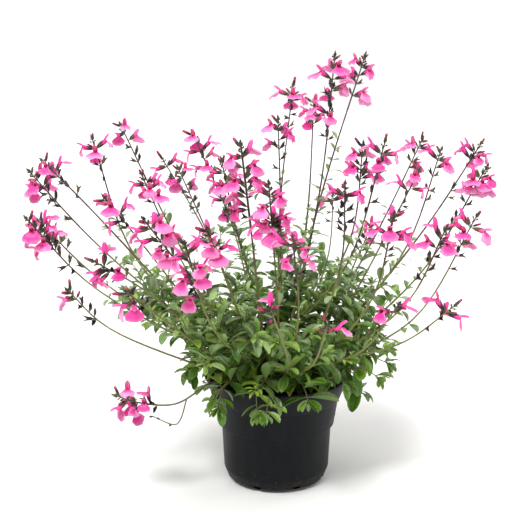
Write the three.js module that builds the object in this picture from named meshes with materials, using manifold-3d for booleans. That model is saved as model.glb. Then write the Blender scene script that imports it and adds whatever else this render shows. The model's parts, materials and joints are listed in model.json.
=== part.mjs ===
// Potted baby sage: a small-leaved shrubby sage in flower, standing in its round black nursery pot.
// Lengths are millimetres. Z is up, the pot stands on z = 0 about the origin, and -Y is the front.

import * as THREE from "three";
import { mergeVertices } from "three/addons/utils/BufferGeometryUtils.js";
import Module from "manifold-3d";

const wasm = await Module();
wasm.setup();

// Gap between pieces that touch on the real plant
const SEAT_GAP = 0.3;

// The pot: radii and heights of its outside, and the thickness of its wall
const POT = {
  sides: 24,
  height: 150,
  lipRadius: 100,
  lipDepth: 3,
  lipOuterInset: 0.5,
  lipInnerInset: 2.5,
  bandTopRadius: 99,
  bandTopHeight: 145.5,
  bandFootRadius: 88,
  bandFootHeight: 117.6,
  collarTopRadius: 86,
  collarTopHeight: 117,
  collarFootRadius: 80,
  collarFootHeight: 79.8,
  bodyTopRadius: 76,
  bodyTopHeight: 79,
  bodyFootRadius: 73,
  bodyFootHeight: 18,
  edgeRadius: 68,
  edgeHeight: 5,
  flatRadius: 57,
  wall: 2,
};

// The drainage holes cut through the rounded bottom edge, tilted in degrees to face it
const DRAIN = { count: 8, width: 9, depth: 12, height: 9, radius: 69, tilt: 35 };

// The potting mix that fills the pot: its top rises to a crown, which would run out at the crown's radius
const MIX = { top: 126, crown: 3, crownRadius: 90, roughness: 1.6, ringRadii: [50] };

// The foot of every branch: how deep it stands, how far it rises straight, and the play round it in its hole
const FOOT = { depth: 20, rise: 8, holeSides: 6, play: 0.3 };

// Square stems: half a diagonal at the foot, at a fork and where the raceme starts
const STEM = { footRadius: 3.2, forkRadius: 2.1, topRadius: 1.15, span: 60, firstFork: 34, forkStep: 13 };

// Half the length of the joint from which leaves or flowers grow, and the turns a piece tries to find room
const JOINT_HALF = 1.1;
const SWINGS = [0, 24, -24, 42, -42];
const FACE_TRIES = [0, 1, 3, 2];

// Racemes: half a diagonal of the axis, its end bud, the bare neck below that bud, and the distance between
// its pairs of flowers
const RACEME = {
  footRadius: 1.1,
  waistRadius: 0.8,
  budRadius: 1.7,
  tipRadius: 0.5,
  budLength: 9,
  neck: 4,
  step: 12.5,
};

// Flowers: calyx and tube in one cone up to the throat, then the hood, and the broad lower lip with its two
// lobes, the notch between them and the keel underneath. Reaches are forward, and drops are below the axis.
const BLOOM = {
  throat: 18.5,
  throatRadius: 3.2,
  hoodReach: 28,
  hoodHeight: 5.5,
  lobeReach: 26,
  lobeSide: 9,
  lobeDrop: 6.6,
  notchReach: 25,
  notchDrop: 11,
  keelReach: 21,
  keelDrop: 7.2,
};
const BUD = { length: 13, belly: 6.5, radius: 2.1 };
const SPENT = { length: 12, mouth: 7.5, radius: 2.2, gape: 3.2 };

// How far flowers rise towards the tip, in degrees, and how much one differs from the next, in radians
const FLOWER_RISE = { open: 22, bud: 42, spent: 42 };
const FLOWER_SPREAD = { rise: 0.15, turn: 0.25 };

// Balls that stand for a flower, or for a bud or spent calyx, while room is sought: forward, side, up, radius
const BLOOM_BALLS = [
  [6, 0, 0, 1.8],
  [11, 0, 0, 2.6],
  [15.5, 0, 0, 3],
  [20.5, 0, 0.5, 3.4],
  [26.5, 0, 4.9, 1.6],
  [23, 0, -7.15, 4.4],
  [24, 5.4, -5.5, 3.6],
  [24, -5.4, -5.5, 3.6],
];
const POD_BALLS = [[4, 0, 0, 2.2], [8, 0, 0, 2.2], [12, 0, 0, 2.2]];

// Leaves: length and width low on the plant and at the top of the leafy part, the heights where these hold,
// and thickness at the midrib
const LEAF = {
  lowLength: 30,
  lowWidth: 12,
  lowHeight: 150,
  topLength: 15,
  topWidth: 6,
  topHeight: 370,
  thickness: 1.3,
};

// The form of a leaf in shares of its length: where its midrib peaks and how high, how far its sides lift and
// its tip drops, and where it is widest. A large leaf is widest at its shoulder, and narrower at its cheek.
const BLADE = {
  peak: 0.48,
  peakRise: 0.028,
  sideLift: 0.07,
  tipDrop: 0.05,
  widest: 0.46,
  shoulder: 0.32,
  cheek: 0.7,
  cheekWidth: 0.86,
};

// Balls that stand for a leaf while room is sought: shares of its length and of its half width
const LEAF_BALLS = [[0.2, 0.6], [0.38, 0.95], [0.6, 0.95], [0.82, 0.65]];
const LEAF_BALL_HEIGHT = 0.03;
const LEAF_TIP_BALL = 0.5;

// How leaves differ: rise in degrees, turn in radians, share of full size, and a smaller share between a pair
const LEAF_SPREAD = { lowRise: 10, highRise: 40, turn: 0.3, smallest: 0.8, largest: 1.1, between: 0.75 };

// Leaves grow at joints this far apart on a stem, and every fifth joint is made: two large leaves at right
// angles to the last pair and the lowest leaves of the two side buds between them
const LEAFY = { spacing: 15, keep: 5, from: 26, leaderFrom: 46, share: 0.56, counts: [4, 3, 2] };
const LARGE_LEAF = 21;

// Leafy side shoots: their thickness and length, where along them their pairs of leaves sit, where on a stem
// they start, how they lean and arch, and which stems of each five bear one
const SHOOT = {
  radius: 1.3,
  tipRadius: 0.8,
  shortest: 48,
  longest: 78,
  pairs: [0.58, 0.94],
  lowStart: 0.2,
  highStart: 0.42,
  startOffset: 14,
  sidewaysSpread: 1,
  steepest: 38,
  arch: 0.1,
  rootLength: 7,
  every: 5,
  bearers: [0, 2],
};

// The branches and where each stands in the pot, sorted round the plant from the right
const BRANCHES = [
  { name: "right", foot: [31, 2] },
  { name: "right_back", foot: [24, 19] },
  { name: "back", foot: [7, 31] },
  { name: "left_back", foot: [-15, 27] },
  { name: "left_rear", foot: [-31, 13] },
  { name: "left", foot: [-33, -3] },
  { name: "left_front", foot: [-28, -19] },
  { name: "front_left", foot: [-12, -30] },
  { name: "front", foot: [6, -32] },
  { name: "right_front", foot: [24, -21] },
  { name: "centre", foot: [1, 1] },
];

// Every flowering stem: the branch it grows on, the points it passes, its tip, the length of its raceme, and
// its flowers: how many are open, closed buds and spent calyces. The first stem of a branch is its leader.
const STEMS = [
  { branch: "right", via: [[190, 30, 326]], tip: [287, 55, 468], raceme: 115, flowers: [2, 2, 2] },
  { branch: "right", via: [[190, 0, 283]], tip: [282, 0, 440], raceme: 110, flowers: [3, 1, 2] },
  { branch: "right", via: [[179, -40, 234]], tip: [258, -60, 384], raceme: 120, flowers: [3, 1, 2] },
  { branch: "right", via: [[130, 52, 285]], tip: [207, 88, 428], raceme: 90, flowers: [3, 1, 1] },
  { branch: "right_back", via: [[176, 75, 293]], tip: [244, 130, 454], raceme: 105, flowers: [3, 1, 2] },
  { branch: "right_back", via: [[143, 105, 319]], tip: [226, 185, 465], raceme: 95, flowers: [3, 2, 2] },
  { branch: "right_back", via: [[95, 130, 225]], tip: [158, 232, 325], raceme: 85, flowers: [2, 1, 2] },
  { branch: "back", via: [[45, 120, 335]], tip: [62, 250, 521], raceme: 95, flowers: [3, 1, 2] },
  { branch: "back", via: [[5, 90, 349]], tip: [27, 175, 546], raceme: 90, flowers: [2, 1, 1] },
  { branch: "back", via: [[78, 160, 271]], tip: [96, 272, 371], raceme: 80, flowers: [2, 1, 2] },
  { branch: "back", via: [[5, 160, 225]], tip: [8, 285, 318], raceme: 85, flowers: [2, 1, 2] },
  { branch: "left_back", via: [[-100, 140, 313]], tip: [-180, 235, 430], raceme: 95, flowers: [3, 1, 2] },
  { branch: "left_back", via: [[-50, 125, 284]], tip: [-85, 225, 377], raceme: 80, flowers: [2, 1, 2] },
  { branch: "left_back", via: [[-85, 80, 300]], tip: [-147, 140, 426], raceme: 100, flowers: [3, 2, 2] },
  { branch: "left_back", via: [[-62, 165, 220]], tip: [-118, 258, 308], raceme: 85, flowers: [2, 1, 2] },
  { branch: "left_rear", via: [[-197, 68, 293]], tip: [-268, 120, 471], raceme: 105, flowers: [4, 1, 2] },
  { branch: "left_rear", via: [[-150, 100, 330]], tip: [-237, 185, 487], raceme: 85, flowers: [3, 1, 1] },
  { branch: "left_rear", via: [[-239, 45, 310]], tip: [-353, 75, 426], raceme: 115, flowers: [3, 1, 2] },
  { branch: "left", via: [[-235, 10, 358]], tip: [-321, 20, 445], raceme: 95, flowers: [2, 1, 2] },
  { branch: "left", via: [[-130, -8, 312]], tip: [-183, -8, 433], raceme: 105, flowers: [4, 1, 2] },
  { branch: "left", via: [[-225, -24, 277]], tip: [-320, -28, 372], raceme: 110, flowers: [1, 1, 4] },
  { branch: "left", via: [[-228, -68, 279]], tip: [-313, -110, 386], raceme: 115, flowers: [4, 1, 2] },
  { branch: "left", via: [[-155, -45, 310]], tip: [-223, -72, 408], raceme: 100, flowers: [3, 1, 2] },
  { branch: "left_front", via: [[-150, -105, 277]], tip: [-224, -165, 342], raceme: 90, flowers: [2, 2, 2] },
  { branch: "left_front", via: [[-200, -90, 228]], tip: [-262, -130, 300], raceme: 80, flowers: [1, 2, 2] },
  { branch: "left_front", via: [[-132, -138, 254]], tip: [-176, -222, 317], raceme: 75, flowers: [1, 1, 2] },
  { branch: "front_left", via: [[-30, -98, 332]], tip: [-46, -130, 480], raceme: 120, flowers: [4, 1, 1] },
  { branch: "front_left", via: [[-100, -112, 292]], tip: [-159, -185, 396], raceme: 95, flowers: [3, 1, 2] },
  { branch: "front_left", via: [[-54, -112, 276]], tip: [-85, -182, 385], raceme: 85, flowers: [2, 1, 2] },
  { branch: "front_left", via: [[-77, -155, 251]], tip: [-105, -245, 379], raceme: 115, flowers: [4, 1, 1] },
  { branch: "front", via: [[-2, -120, 293]], tip: [-13, -190, 439], raceme: 110, flowers: [4, 1, 1] },
  { branch: "front", via: [[23, -165, 267]], tip: [12, -265, 389], raceme: 85, flowers: [3, 1, 1] },
  { branch: "front", via: [[12, -150, 210]], tip: [-12, -245, 304], raceme: 60, flowers: [1, 2, 1] },
  { branch: "front", via: [[40, -150, 205]], tip: [54, -238, 283], raceme: 55, flowers: [1, 2, 1] },
  { branch: "right_front", via: [[75, -105, 308]], tip: [76, -168, 436], raceme: 95, flowers: [2, 1, 2] },
  { branch: "right_front", via: [[111, -122, 274]], tip: [130, -200, 405], raceme: 110, flowers: [4, 1, 1] },
  { branch: "right_front", via: [[157, -80, 258]], tip: [206, -125, 378], raceme: 100, flowers: [4, 1, 1] },
  { branch: "right_front", via: [[100, -140, 220]], tip: [138, -215, 303], raceme: 65, flowers: [2, 1, 1] },
  { branch: "right_front", via: [[150, -95, 215]], tip: [221, -138, 283], raceme: 75, flowers: [2, 1, 1] },
  { branch: "centre", via: [[55, -2, 389]], tip: [75, -4, 585], raceme: 135, flowers: [4, 1, 2] },
  { branch: "centre", via: [[60, 45, 383]], tip: [126, 95, 587], raceme: 105, flowers: [4, 2, 2] },
  { branch: "centre", via: [[6, 45, 356]], tip: [2, 78, 501], raceme: 100, flowers: [3, 1, 2] },
  { branch: "centre", via: [[-46, 22, 310]], tip: [-77, 40, 446], raceme: 90, flowers: [1, 2, 2] },
  { branch: "centre", via: [[-58, 60, 340]], tip: [-123, 112, 479], raceme: 105, flowers: [4, 1, 2] },
  { branch: "centre", via: [[98, 18, 325]], tip: [118, 34, 469], raceme: 100, flowers: [2, 1, 2] },
  { branch: "centre", via: [[94, -40, 315]], tip: [136, -66, 479], raceme: 110, flowers: [4, 1, 2] },
];

// The trailing spray that leans over the rim at the left. It is the last stem of its branch.
const TRAILER = {
  branch: "left_front",
  via: [[-62, -52, 160], [-92, -66, 153], [-132, -80, 132], [-178, -88, 136]],
  tip: [-216, -92, 150],
  raceme: 80,
  flowers: [3, 1, 2],
};

// Seeds of the random draws, and the numbers that turn a seed into draws
const SEED = { stems: 4100, mix: 77 };
const DRAWS = { multiplier: 16807, modulus: 2147483647, seedStep: 7919, seedStart: 17 };

// Space kept between different pieces, the spacing of balls along a stem, and the cell size of the room
const CLEARANCE = 0.7;
const BALL_SPACING = 3;
const CELL = 24;

// A direction that no stem points in, from which the sides of a stem are worked out
const SIDE_HINT = [0.31, 0.94, 0.17];

// Finishes
const FINISH = {
  plastic: new THREE.MeshStandardMaterial({ color: "#17191b", roughness: 0.5, metalness: 0 }),
  mix: new THREE.MeshStandardMaterial({ color: "#3a2a1e", roughness: 1, metalness: 0 }),
  foliage: new THREE.MeshStandardMaterial({ color: "#4e7a3a", roughness: 0.6, metalness: 0 }),
  flower: new THREE.MeshStandardMaterial({ color: "#f4529c", roughness: 0.6, metalness: 0 }),
};

// Vectors are plain arrays of three numbers
const UP = [0, 0, 1];
const add = (a, b) => [a[0] + b[0], a[1] + b[1], a[2] + b[2]];
const sub = (a, b) => [a[0] - b[0], a[1] - b[1], a[2] - b[2]];
const scale = (a, k) => [a[0] * k, a[1] * k, a[2] * k];
const dot = (a, b) => a[0] * b[0] + a[1] * b[1] + a[2] * b[2];
const cross = (a, b) => [a[1] * b[2] - a[2] * b[1], a[2] * b[0] - a[0] * b[2], a[0] * b[1] - a[1] * b[0]];
const length = (a) => Math.sqrt(dot(a, a));
const unit = (a) => scale(a, 1 / length(a));
const mix = (a, b, t) => a + (b - a) * t;
const mixPoints = (a, b, t) => [mix(a[0], b[0], t), mix(a[1], b[1], t), mix(a[2], b[2], t)];
const squared = (a, axis) => unit(sub(a, scale(axis, dot(a, axis))));
const degrees = (angle) => (angle * Math.PI) / 180;

// A seeded source of random draws between two numbers
function drawsFrom(seed) {
  let state = seed * DRAWS.seedStep + DRAWS.seedStart;
  const draw = (low, high) => {
    state = (state * DRAWS.multiplier) % DRAWS.modulus;
    return low + ((high - low) * state) / DRAWS.modulus;
  };
  draw(0, 1);
  draw(0, 1);
  return draw;
}

// A smooth path through points, read by the distance along it. The four faces of a square stem follow it
// without twisting.
class Path {
  constructor(controls, spin = 0, stepsPerSpan = 8, foot = []) {
    this.points = [...foot, ...smoothPoints(controls, stepsPerSpan)];
    this.distances = [0];
    for (let i = 1; i < this.points.length; i += 1) {
      this.distances.push(this.distances[i - 1] + length(sub(this.points[i], this.points[i - 1])));
    }
    this.length = this.distances[this.distances.length - 1];
    this.sides = this.sidesAlong(spin);
  }

  sidesAlong(spin) {
    const axis = this.axisOf(1);
    const first = unit(cross(axis, SIDE_HINT));
    let side = add(scale(first, Math.cos(spin)), scale(cross(axis, first), Math.sin(spin)));
    const sides = [side];
    for (let i = 1; i < this.points.length; i += 1) {
      side = squared(side, this.axisOf(i));
      sides.push(side);
    }
    return sides;
  }

  axisOf(i) {
    return unit(sub(this.points[i], this.points[i - 1]));
  }

  spanAt(distance) {
    let i = 1;
    while (i < this.points.length - 1 && this.distances[i] < distance) i += 1;
    return i;
  }

  at(distance) {
    const i = this.spanAt(distance);
    const t = (distance - this.distances[i - 1]) / (this.distances[i] - this.distances[i - 1]);
    return mixPoints(this.points[i - 1], this.points[i], t);
  }

  // The axis at a distance, and the directions of the stem's four edges there
  frameAt(distance) {
    const i = this.spanAt(distance);
    const axis = this.axisOf(i);
    const side = squared(this.sides[i], axis);
    const other = cross(axis, side);
    return { axis, edges: [side, other, scale(side, -1), scale(other, -1)] };
  }

  // The direction that a face of the stem looks in
  faceAt(distance, face) {
    const { edges } = this.frameAt(distance);
    return unit(add(edges[face % 4], edges[(face + 1) % 4]));
  }
}

// Points of a curve that passes through every control point
function smoothPoints(controls, stepsPerSpan) {
  const last = controls.length - 1;
  const before = sub(scale(controls[0], 2), controls[1]);
  const after = sub(scale(controls[last], 2), controls[last - 1]);
  const all = [before, ...controls, after];
  const points = [controls[0]];
  for (let span = 1; span <= last; span += 1) {
    for (let step = 1; step <= stepsPerSpan; step += 1) {
      points.push(curvePoint(all[span - 1], all[span], all[span + 1], all[span + 2], step / stepsPerSpan));
    }
  }
  return points;
}

// One point of the curve between b and c, with a and d as its neighbours
function curvePoint(a, b, c, d, t) {
  return [0, 1, 2].map((k) => {
    const startSlope = (c[k] - a[k]) / 2;
    const endSlope = (d[k] - b[k]) / 2;
    const square = 3 * (c[k] - b[k]) - 2 * startSlope - endSlope;
    const cube = 2 * (b[k] - c[k]) + startSlope + endSlope;
    return b[k] + startSlope * t + square * t * t + cube * t * t * t;
  });
}

// A place with a direction: forward, side and up are at right angles
function placeAt(origin, forward, upHint) {
  const f = unit(forward);
  const side = unit(cross(upHint, f));
  return { origin, forward: f, side, up: cross(f, side) };
}

// The point of a place that lies x forward, y to the side and z up
function pointOf(place, [x, y, z]) {
  const along = add(scale(place.forward, x), scale(place.side, y));
  return add(place.origin, add(along, scale(place.up, z)));
}

// A place on one face of a stem, swung round the stem and raised towards its tip
function placeOnFace(path, distance, radius, face, swing, rise) {
  const { axis } = path.frameAt(distance);
  const normal = path.faceAt(distance, face);
  const across = cross(axis, normal);
  const round = add(scale(normal, Math.cos(swing)), scale(across, Math.sin(swing)));
  const forward = add(scale(round, Math.cos(rise)), scale(axis, Math.sin(rise)));
  return placeAt(add(path.at(distance), scale(normal, radius * Math.SQRT1_2)), forward, UP);
}

// The room of the plant: spheres that stand for what is already placed, sorted into cells
class Room {
  constructor() {
    this.cells = new Map();
  }

  keysNear([x, y, z]) {
    const keys = [];
    const [i, j, k] = [x, y, z].map((value) => Math.floor(value / CELL));
    for (let a = i - 1; a <= i + 1; a += 1) {
      for (let b = j - 1; b <= j + 1; b += 1) {
        for (let c = k - 1; c <= k + 1; c += 1) keys.push(`${a},${b},${c}`);
      }
    }
    return keys;
  }

  fits(balls, ownStem) {
    if (!balls.every(clearOfPot)) return false;
    return balls.every(({ centre, radius }) =>
      this.keysNear(centre).every((key) =>
        (this.cells.get(key) ?? []).every(
          (other) =>
            other.owner === ownStem || length(sub(centre, other.centre)) > radius + other.radius + CLEARANCE,
        ),
      ),
    );
  }

  claim(balls, owner) {
    for (const { centre, radius } of balls) {
      const key = centre.map((value) => Math.floor(value / CELL)).join(",");
      if (!this.cells.has(key)) this.cells.set(key, []);
      this.cells.get(key).push({ centre, radius, owner });
    }
  }
}

// Whether a ball is clear of the pot and the mix: above them, or outside the lip
function clearOfPot({ centre, radius }) {
  const out = Math.sqrt(centre[0] * centre[0] + centre[1] * centre[1]);
  if (out - radius > POT.lipRadius + CLEARANCE) return true;
  const overMix = out + radius < POT.collarTopRadius - POT.wall;
  const floor = overMix ? MIX.top + MIX.crown + MIX.roughness : POT.height;
  return centre[2] - radius > floor + CLEARANCE;
}

// Balls along a path, as thick as the stem
function ballsAlong(path, from, to, radiusAt) {
  const count = Math.max(1, Math.ceil((to - from) / BALL_SPACING));
  return Array.from({ length: count + 1 }, (_, i) => {
    const distance = mix(from, to, i / count);
    return { centre: path.at(distance), radius: radiusAt(distance) };
  });
}

// A closed solid from points and the faces between them, turned so that its faces point out
function solidFrom(points, faces) {
  let volume = 0;
  for (const [a, b, c] of faces) volume += dot(points[a], cross(points[b], points[c]));
  const outward = volume > 0 ? faces : faces.map(([a, b, c]) => [a, c, b]);
  const mesh = new wasm.Mesh({
    numProp: 3,
    vertProperties: Float32Array.from(points.flat()),
    triVerts: Uint32Array.from(outward.flat()),
  });
  return new wasm.Manifold(mesh);
}

// A closed solid from a three.js geometry, with its shared vertices merged
function solidOf(geometry) {
  geometry.deleteAttribute("normal");
  geometry.deleteAttribute("uv");
  const merged = mergeVertices(geometry, 1e-4);
  const position = merged.getAttribute("position");
  const points = Array.from({ length: position.count }, (_, i) => [
    position.getX(i),
    position.getY(i),
    position.getZ(i),
  ]);
  const faces = [];
  const index = Array.from(merged.index.array);
  for (let i = 0; i < index.length; i += 3) {
    const [a, b, c] = index.slice(i, i + 3);
    if (a !== b && b !== c && c !== a) faces.push([a, b, c]);
  }
  return solidFrom(points, faces);
}

// A three.js mesh from a solid
function meshFrom(name, solid, material) {
  const { vertProperties, triVerts } = solid.getMesh();
  const geometry = new THREE.BufferGeometry();
  geometry.setAttribute("position", new THREE.BufferAttribute(vertProperties, 3));
  geometry.setIndex(new THREE.BufferAttribute(triVerts, 1));
  geometry.computeVertexNormals();
  const mesh = new THREE.Mesh(geometry, material);
  mesh.name = name;
  return mesh;
}

// A body turned round the pot's axis, from its profile of [radius, height] points
function turned(profile) {
  const points = profile.map(([radius, height]) => new THREE.Vector2(radius, height));
  return solidOf(new THREE.LatheGeometry(points, POT.sides).rotateX(Math.PI / 2));
}

// The pot's inner wall, from the lip down to the floor
function innerProfile() {
  const w = POT.wall;
  return [
    [POT.bandTopRadius - w, POT.bandTopHeight],
    [POT.collarTopRadius - w, POT.collarTopHeight - w],
    [POT.bodyTopRadius - w, POT.bodyTopHeight - w],
    [POT.bodyFootRadius - w, POT.bodyFootHeight + w / 2],
    [POT.edgeRadius - w, POT.edgeHeight + w],
    [POT.flatRadius - w / 2, w],
    [0, w],
  ];
}

function potProfile() {
  return [
    [0, 0],
    [POT.flatRadius, 0],
    [POT.edgeRadius, POT.edgeHeight],
    [POT.bodyFootRadius, POT.bodyFootHeight],
    [POT.bodyTopRadius, POT.bodyTopHeight],
    [POT.collarFootRadius, POT.collarFootHeight],
    [POT.collarTopRadius, POT.collarTopHeight],
    [POT.bandFootRadius, POT.bandFootHeight],
    [POT.bandTopRadius, POT.bandTopHeight],
    [POT.lipRadius, POT.height - POT.lipDepth],
    [POT.lipRadius - POT.lipOuterInset, POT.height],
    [POT.lipRadius - POT.lipInnerInset, POT.height],
    ...innerProfile(),
  ];
}

function drainCutter(index) {
  const angle = ((index + 0.5) * 2 * Math.PI) / DRAIN.count;
  const box = new THREE.BoxGeometry(DRAIN.depth, DRAIN.width, DRAIN.height);
  box.rotateY(degrees(DRAIN.tilt));
  box.translate(DRAIN.radius, 0, POT.edgeHeight);
  return solidOf(box.rotateZ(angle));
}

function potSolid() {
  let solid = turned(potProfile());
  for (let i = 0; i < DRAIN.count; i += 1) solid = solid.subtract(drainCutter(i));
  return solid;
}

// The radius that the mix reaches at a height inside the pot
function mixRadius(height) {
  const wall = innerProfile();
  const i = wall.findIndex(([, wallHeight]) => wallHeight < height);
  const [lowRadius, lowHeight] = wall[i];
  const [highRadius, highHeight] = wall[i - 1];
  return mix(lowRadius, highRadius, (height - lowHeight) / (highHeight - lowHeight)) - SEAT_GAP;
}

// The mix follows the inner wall at a small gap, with a slightly crowned and uneven top
function mixSolid(branches) {
  const wall = innerProfile()
    .filter(([, height]) => height < MIX.top)
    .map(([radius, height]) => [Math.max(0, radius - SEAT_GAP), height + SEAT_GAP / 3]);
  wall[wall.length - 2][1] = POT.wall + SEAT_GAP;
  wall[wall.length - 1][1] = POT.wall + SEAT_GAP;
  const top = MIX.ringRadii.map((radius) => [radius, MIX.top + MIX.crown * (1 - radius / MIX.crownRadius)]);
  const outline = [...wall.reverse(), [mixRadius(MIX.top), MIX.top], ...top, [0, MIX.top + MIX.crown]];
  let solid = roughened(turned(outline));
  for (const { foot } of branches) solid = solid.subtract(footHole(foot));
  return solid;
}

// The top of the mix with small seeded rises and dips
function roughened(solid) {
  const draw = drawsFrom(SEED.mix);
  const { vertProperties, triVerts } = solid.getMesh();
  for (let i = 2; i < vertProperties.length; i += 3) {
    if (vertProperties[i] > MIX.top + SEAT_GAP) vertProperties[i] += draw(-MIX.roughness, MIX.roughness);
  }
  return new wasm.Manifold(new wasm.Mesh({ numProp: 3, vertProperties, triVerts }));
}

// A plain upright hole round a foot
function footHole([x, y]) {
  const radius = (STEM.footRadius + FOOT.play) / Math.cos(Math.PI / FOOT.holeSides);
  const hole = new THREE.CylinderGeometry(radius, radius, 2 * FOOT.depth, FOOT.holeSides);
  hole.rotateX(Math.PI / 2);
  return solidOf(hole.translate(x, y, MIX.top - FOOT.play));
}

// A square stem along a path, with what grows from its faces. Each joint has a distance and its pieces, and
// each piece a face, a place and a function that adds its own points and faces to the body.
function stemBody(path, from, to, radiusAt, joints, span) {
  const body = { points: [], faces: [] };
  const rings = ringDistances(from, to, joints, span);
  let low = addRing(body, path, rings[0].distance, radiusAt);
  body.faces.push([low, low + 2, low + 1], [low, low + 3, low + 2]);
  for (const ring of rings.slice(1)) {
    const high = addRing(body, path, ring.distance, radiusAt);
    addBand(body, low, high, ring.pieces ?? []);
    low = high;
  }
  body.faces.push([low, low + 1, low + 2], [low, low + 2, low + 3]);
  return body;
}

// Ring distances: one at a bare joint, two at a joint with pieces, and more where a stretch is long
function ringDistances(from, to, joints, span) {
  const rings = [{ distance: from }];
  const sorted = [...joints].sort((a, b) => a.distance - b.distance);
  for (const { distance, pieces = [] } of [...sorted, { distance: to }]) {
    const half = pieces.length > 0 ? JOINT_HALF : 0;
    const start = rings[rings.length - 1].distance;
    const count = Math.max(1, Math.round((distance - half - start) / span));
    for (let i = 1; i <= count; i += 1) rings.push({ distance: mix(start, distance - half, i / count) });
    if (half > 0) rings.push({ distance: distance + half, pieces });
  }
  return rings;
}

function addRing(body, path, distance, radiusAt) {
  const { edges } = path.frameAt(distance);
  const centre = path.at(distance);
  for (const edge of edges) body.points.push(add(centre, scale(edge, radiusAt(distance))));
  return body.points.length - 4;
}

// The band between two rings of four, where a piece takes the place of the face it grows from
function addBand(body, low, high, pieces = []) {
  for (let i = 0; i < 4; i += 1) {
    const next = (i + 1) % 4;
    const corners = [low + i, low + next, high + next, high + i];
    const piece = pieces.find(({ face }) => face % 4 === i);
    if (piece) piece.grow(body, rootCorners(body, corners, piece.place), piece.place);
    else body.faces.push([corners[0], corners[1], corners[2]], [corners[0], corners[2], corners[3]]);
  }
}

// The corners of a root in the order low left, high left, high right, low right, as the piece sees them
function rootCorners(body, corners, place) {
  const wanted = [[1, -1], [1, 1], [-1, 1], [-1, -1]];
  const spread = (shift) =>
    wanted.reduce((sum, [y, z], i) => {
      const offset = sub(body.points[corners[(i + shift) % 4]], place.origin);
      return sum + y * dot(offset, place.side) + z * dot(offset, place.up);
    }, 0);
  const best = [0, 1, 2, 3].reduce((a, b) => (spread(b) > spread(a) ? b : a));
  return [0, 1, 2, 3].map((i) => corners[(i + best) % 4]);
}

// Adds points given in a place's own directions, and returns the index of the first
function addPoints(body, place, points) {
  body.points.push(...points.map((point) => pointOf(place, point)));
  return body.points.length - points.length;
}

// A leaf blade, six-sided in outline, arched along its midrib and slightly folded up at its sides
function leafMaker(size) {
  return (body, [lowLeft, highLeft, highRight, lowRight], place) => {
    const outline = leafOutline(size);
    const half = LEAF.thickness / 2;
    const rise = size.length * BLADE.peakRise;
    const first = addPoints(body, place, [
      ...outline,
      [size.length * BLADE.peak, 0, rise + half],
      [size.length * BLADE.peak, 0, rise - half],
    ]);
    const rim = outline.map((_, i) => first + i);
    const [left, right] = [rim[0], rim[rim.length - 1]];
    const top = first + rim.length;
    addFan(body, top, [highLeft, highRight, ...[...rim].reverse(), highLeft]);
    addFan(body, top + 1, [lowRight, lowLeft, ...rim, lowRight]);
    body.faces.push([lowLeft, highLeft, left], [highRight, lowRight, right]);
  };
}

// The outline of a leaf from its left side round the tip to its right side, with more points on a large one
function leafOutline({ length: l, width }) {
  const w = width / 2;
  const lift = l * BLADE.sideLift;
  const tip = [l, 0, -l * BLADE.tipDrop];
  const edge = (share, side) => [l * share, side, lift];
  if (l < LARGE_LEAF) return [edge(BLADE.widest, w), tip, edge(BLADE.widest, -w)];
  const cheek = w * BLADE.cheekWidth;
  const left = [edge(BLADE.shoulder, w), edge(BLADE.cheek, cheek)];
  return [...left, tip, edge(BLADE.cheek, -cheek), edge(BLADE.shoulder, -w)];
}

// Faces from one point to each edge of an outline
function addFan(body, centre, outline) {
  for (let i = 0; i < outline.length - 1; i += 1) body.faces.push([centre, outline[i], outline[i + 1]]);
}

// Balls at a place, from rows of forward, side, up and radius
function ballsAt(place, rows) {
  return rows.map(([x, y, z, radius]) => ({ centre: pointOf(place, [x, y, z]), radius }));
}

function leafBalls(place, { length: l, width }) {
  const height = l * LEAF_BALL_HEIGHT;
  const rows = LEAF_BALLS.map(([share, girth]) => [l * share, 0, height, (girth * width) / 2]);
  return ballsAt(place, [...rows, [l, 0, height, LEAF_TIP_BALL]]);
}

// An open flower: calyx and tube, arched hood and broad two-lobed lower lip
function growBloom(body, root, place) {
  const b = BLOOM;
  const throat = addPoints(body, place, diamond(b.throat, b.throatRadius));
  const lip = addPoints(body, place, [
    [b.hoodReach, 0, b.hoodHeight],
    [b.lobeReach, b.lobeSide, -b.lobeDrop],
    [b.notchReach, 0, -b.notchDrop],
    [b.lobeReach, -b.lobeSide, -b.lobeDrop],
    [b.keelReach, 0, -b.keelDrop],
  ]);
  const [bottom, left, top, right] = [0, 1, 2, 3].map((i) => throat + i);
  const [hood, leftLobe, notch, rightLobe, keel] = [0, 1, 2, 3, 4].map((i) => lip + i);
  addSleeve(body, root, throat);
  body.faces.push([left, top, hood], [top, right, hood], [left, hood, right]);
  body.faces.push([left, right, notch], [left, notch, leftLobe], [right, rightLobe, notch]);
  addFan(body, keel, [left, leftLobe, notch, rightLobe, right, bottom, left]);
}

// Four points round the forward axis: bottom, left, top and right
function diamond(x, radius) {
  return [[x, 0, -radius], [x, radius, 0], [x, 0, radius], [x, -radius, 0]];
}

// The band from a root's corners to a ring of four
function addSleeve(body, root, ring) {
  for (let i = 0; i < 4; i += 1) {
    const next = (i + 1) % 4;
    body.faces.push([root[i], root[next], ring + next], [root[i], ring + next, ring + i]);
  }
}

// A closed bud in its calyx
function growBud(body, root, place) {
  const belly = addPoints(body, place, [...diamond(BUD.belly, BUD.radius), [BUD.length, 0, 0]]);
  addSleeve(body, root, belly);
  addFan(body, belly + 4, [belly, belly + 1, belly + 2, belly + 3, belly]);
}

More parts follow.
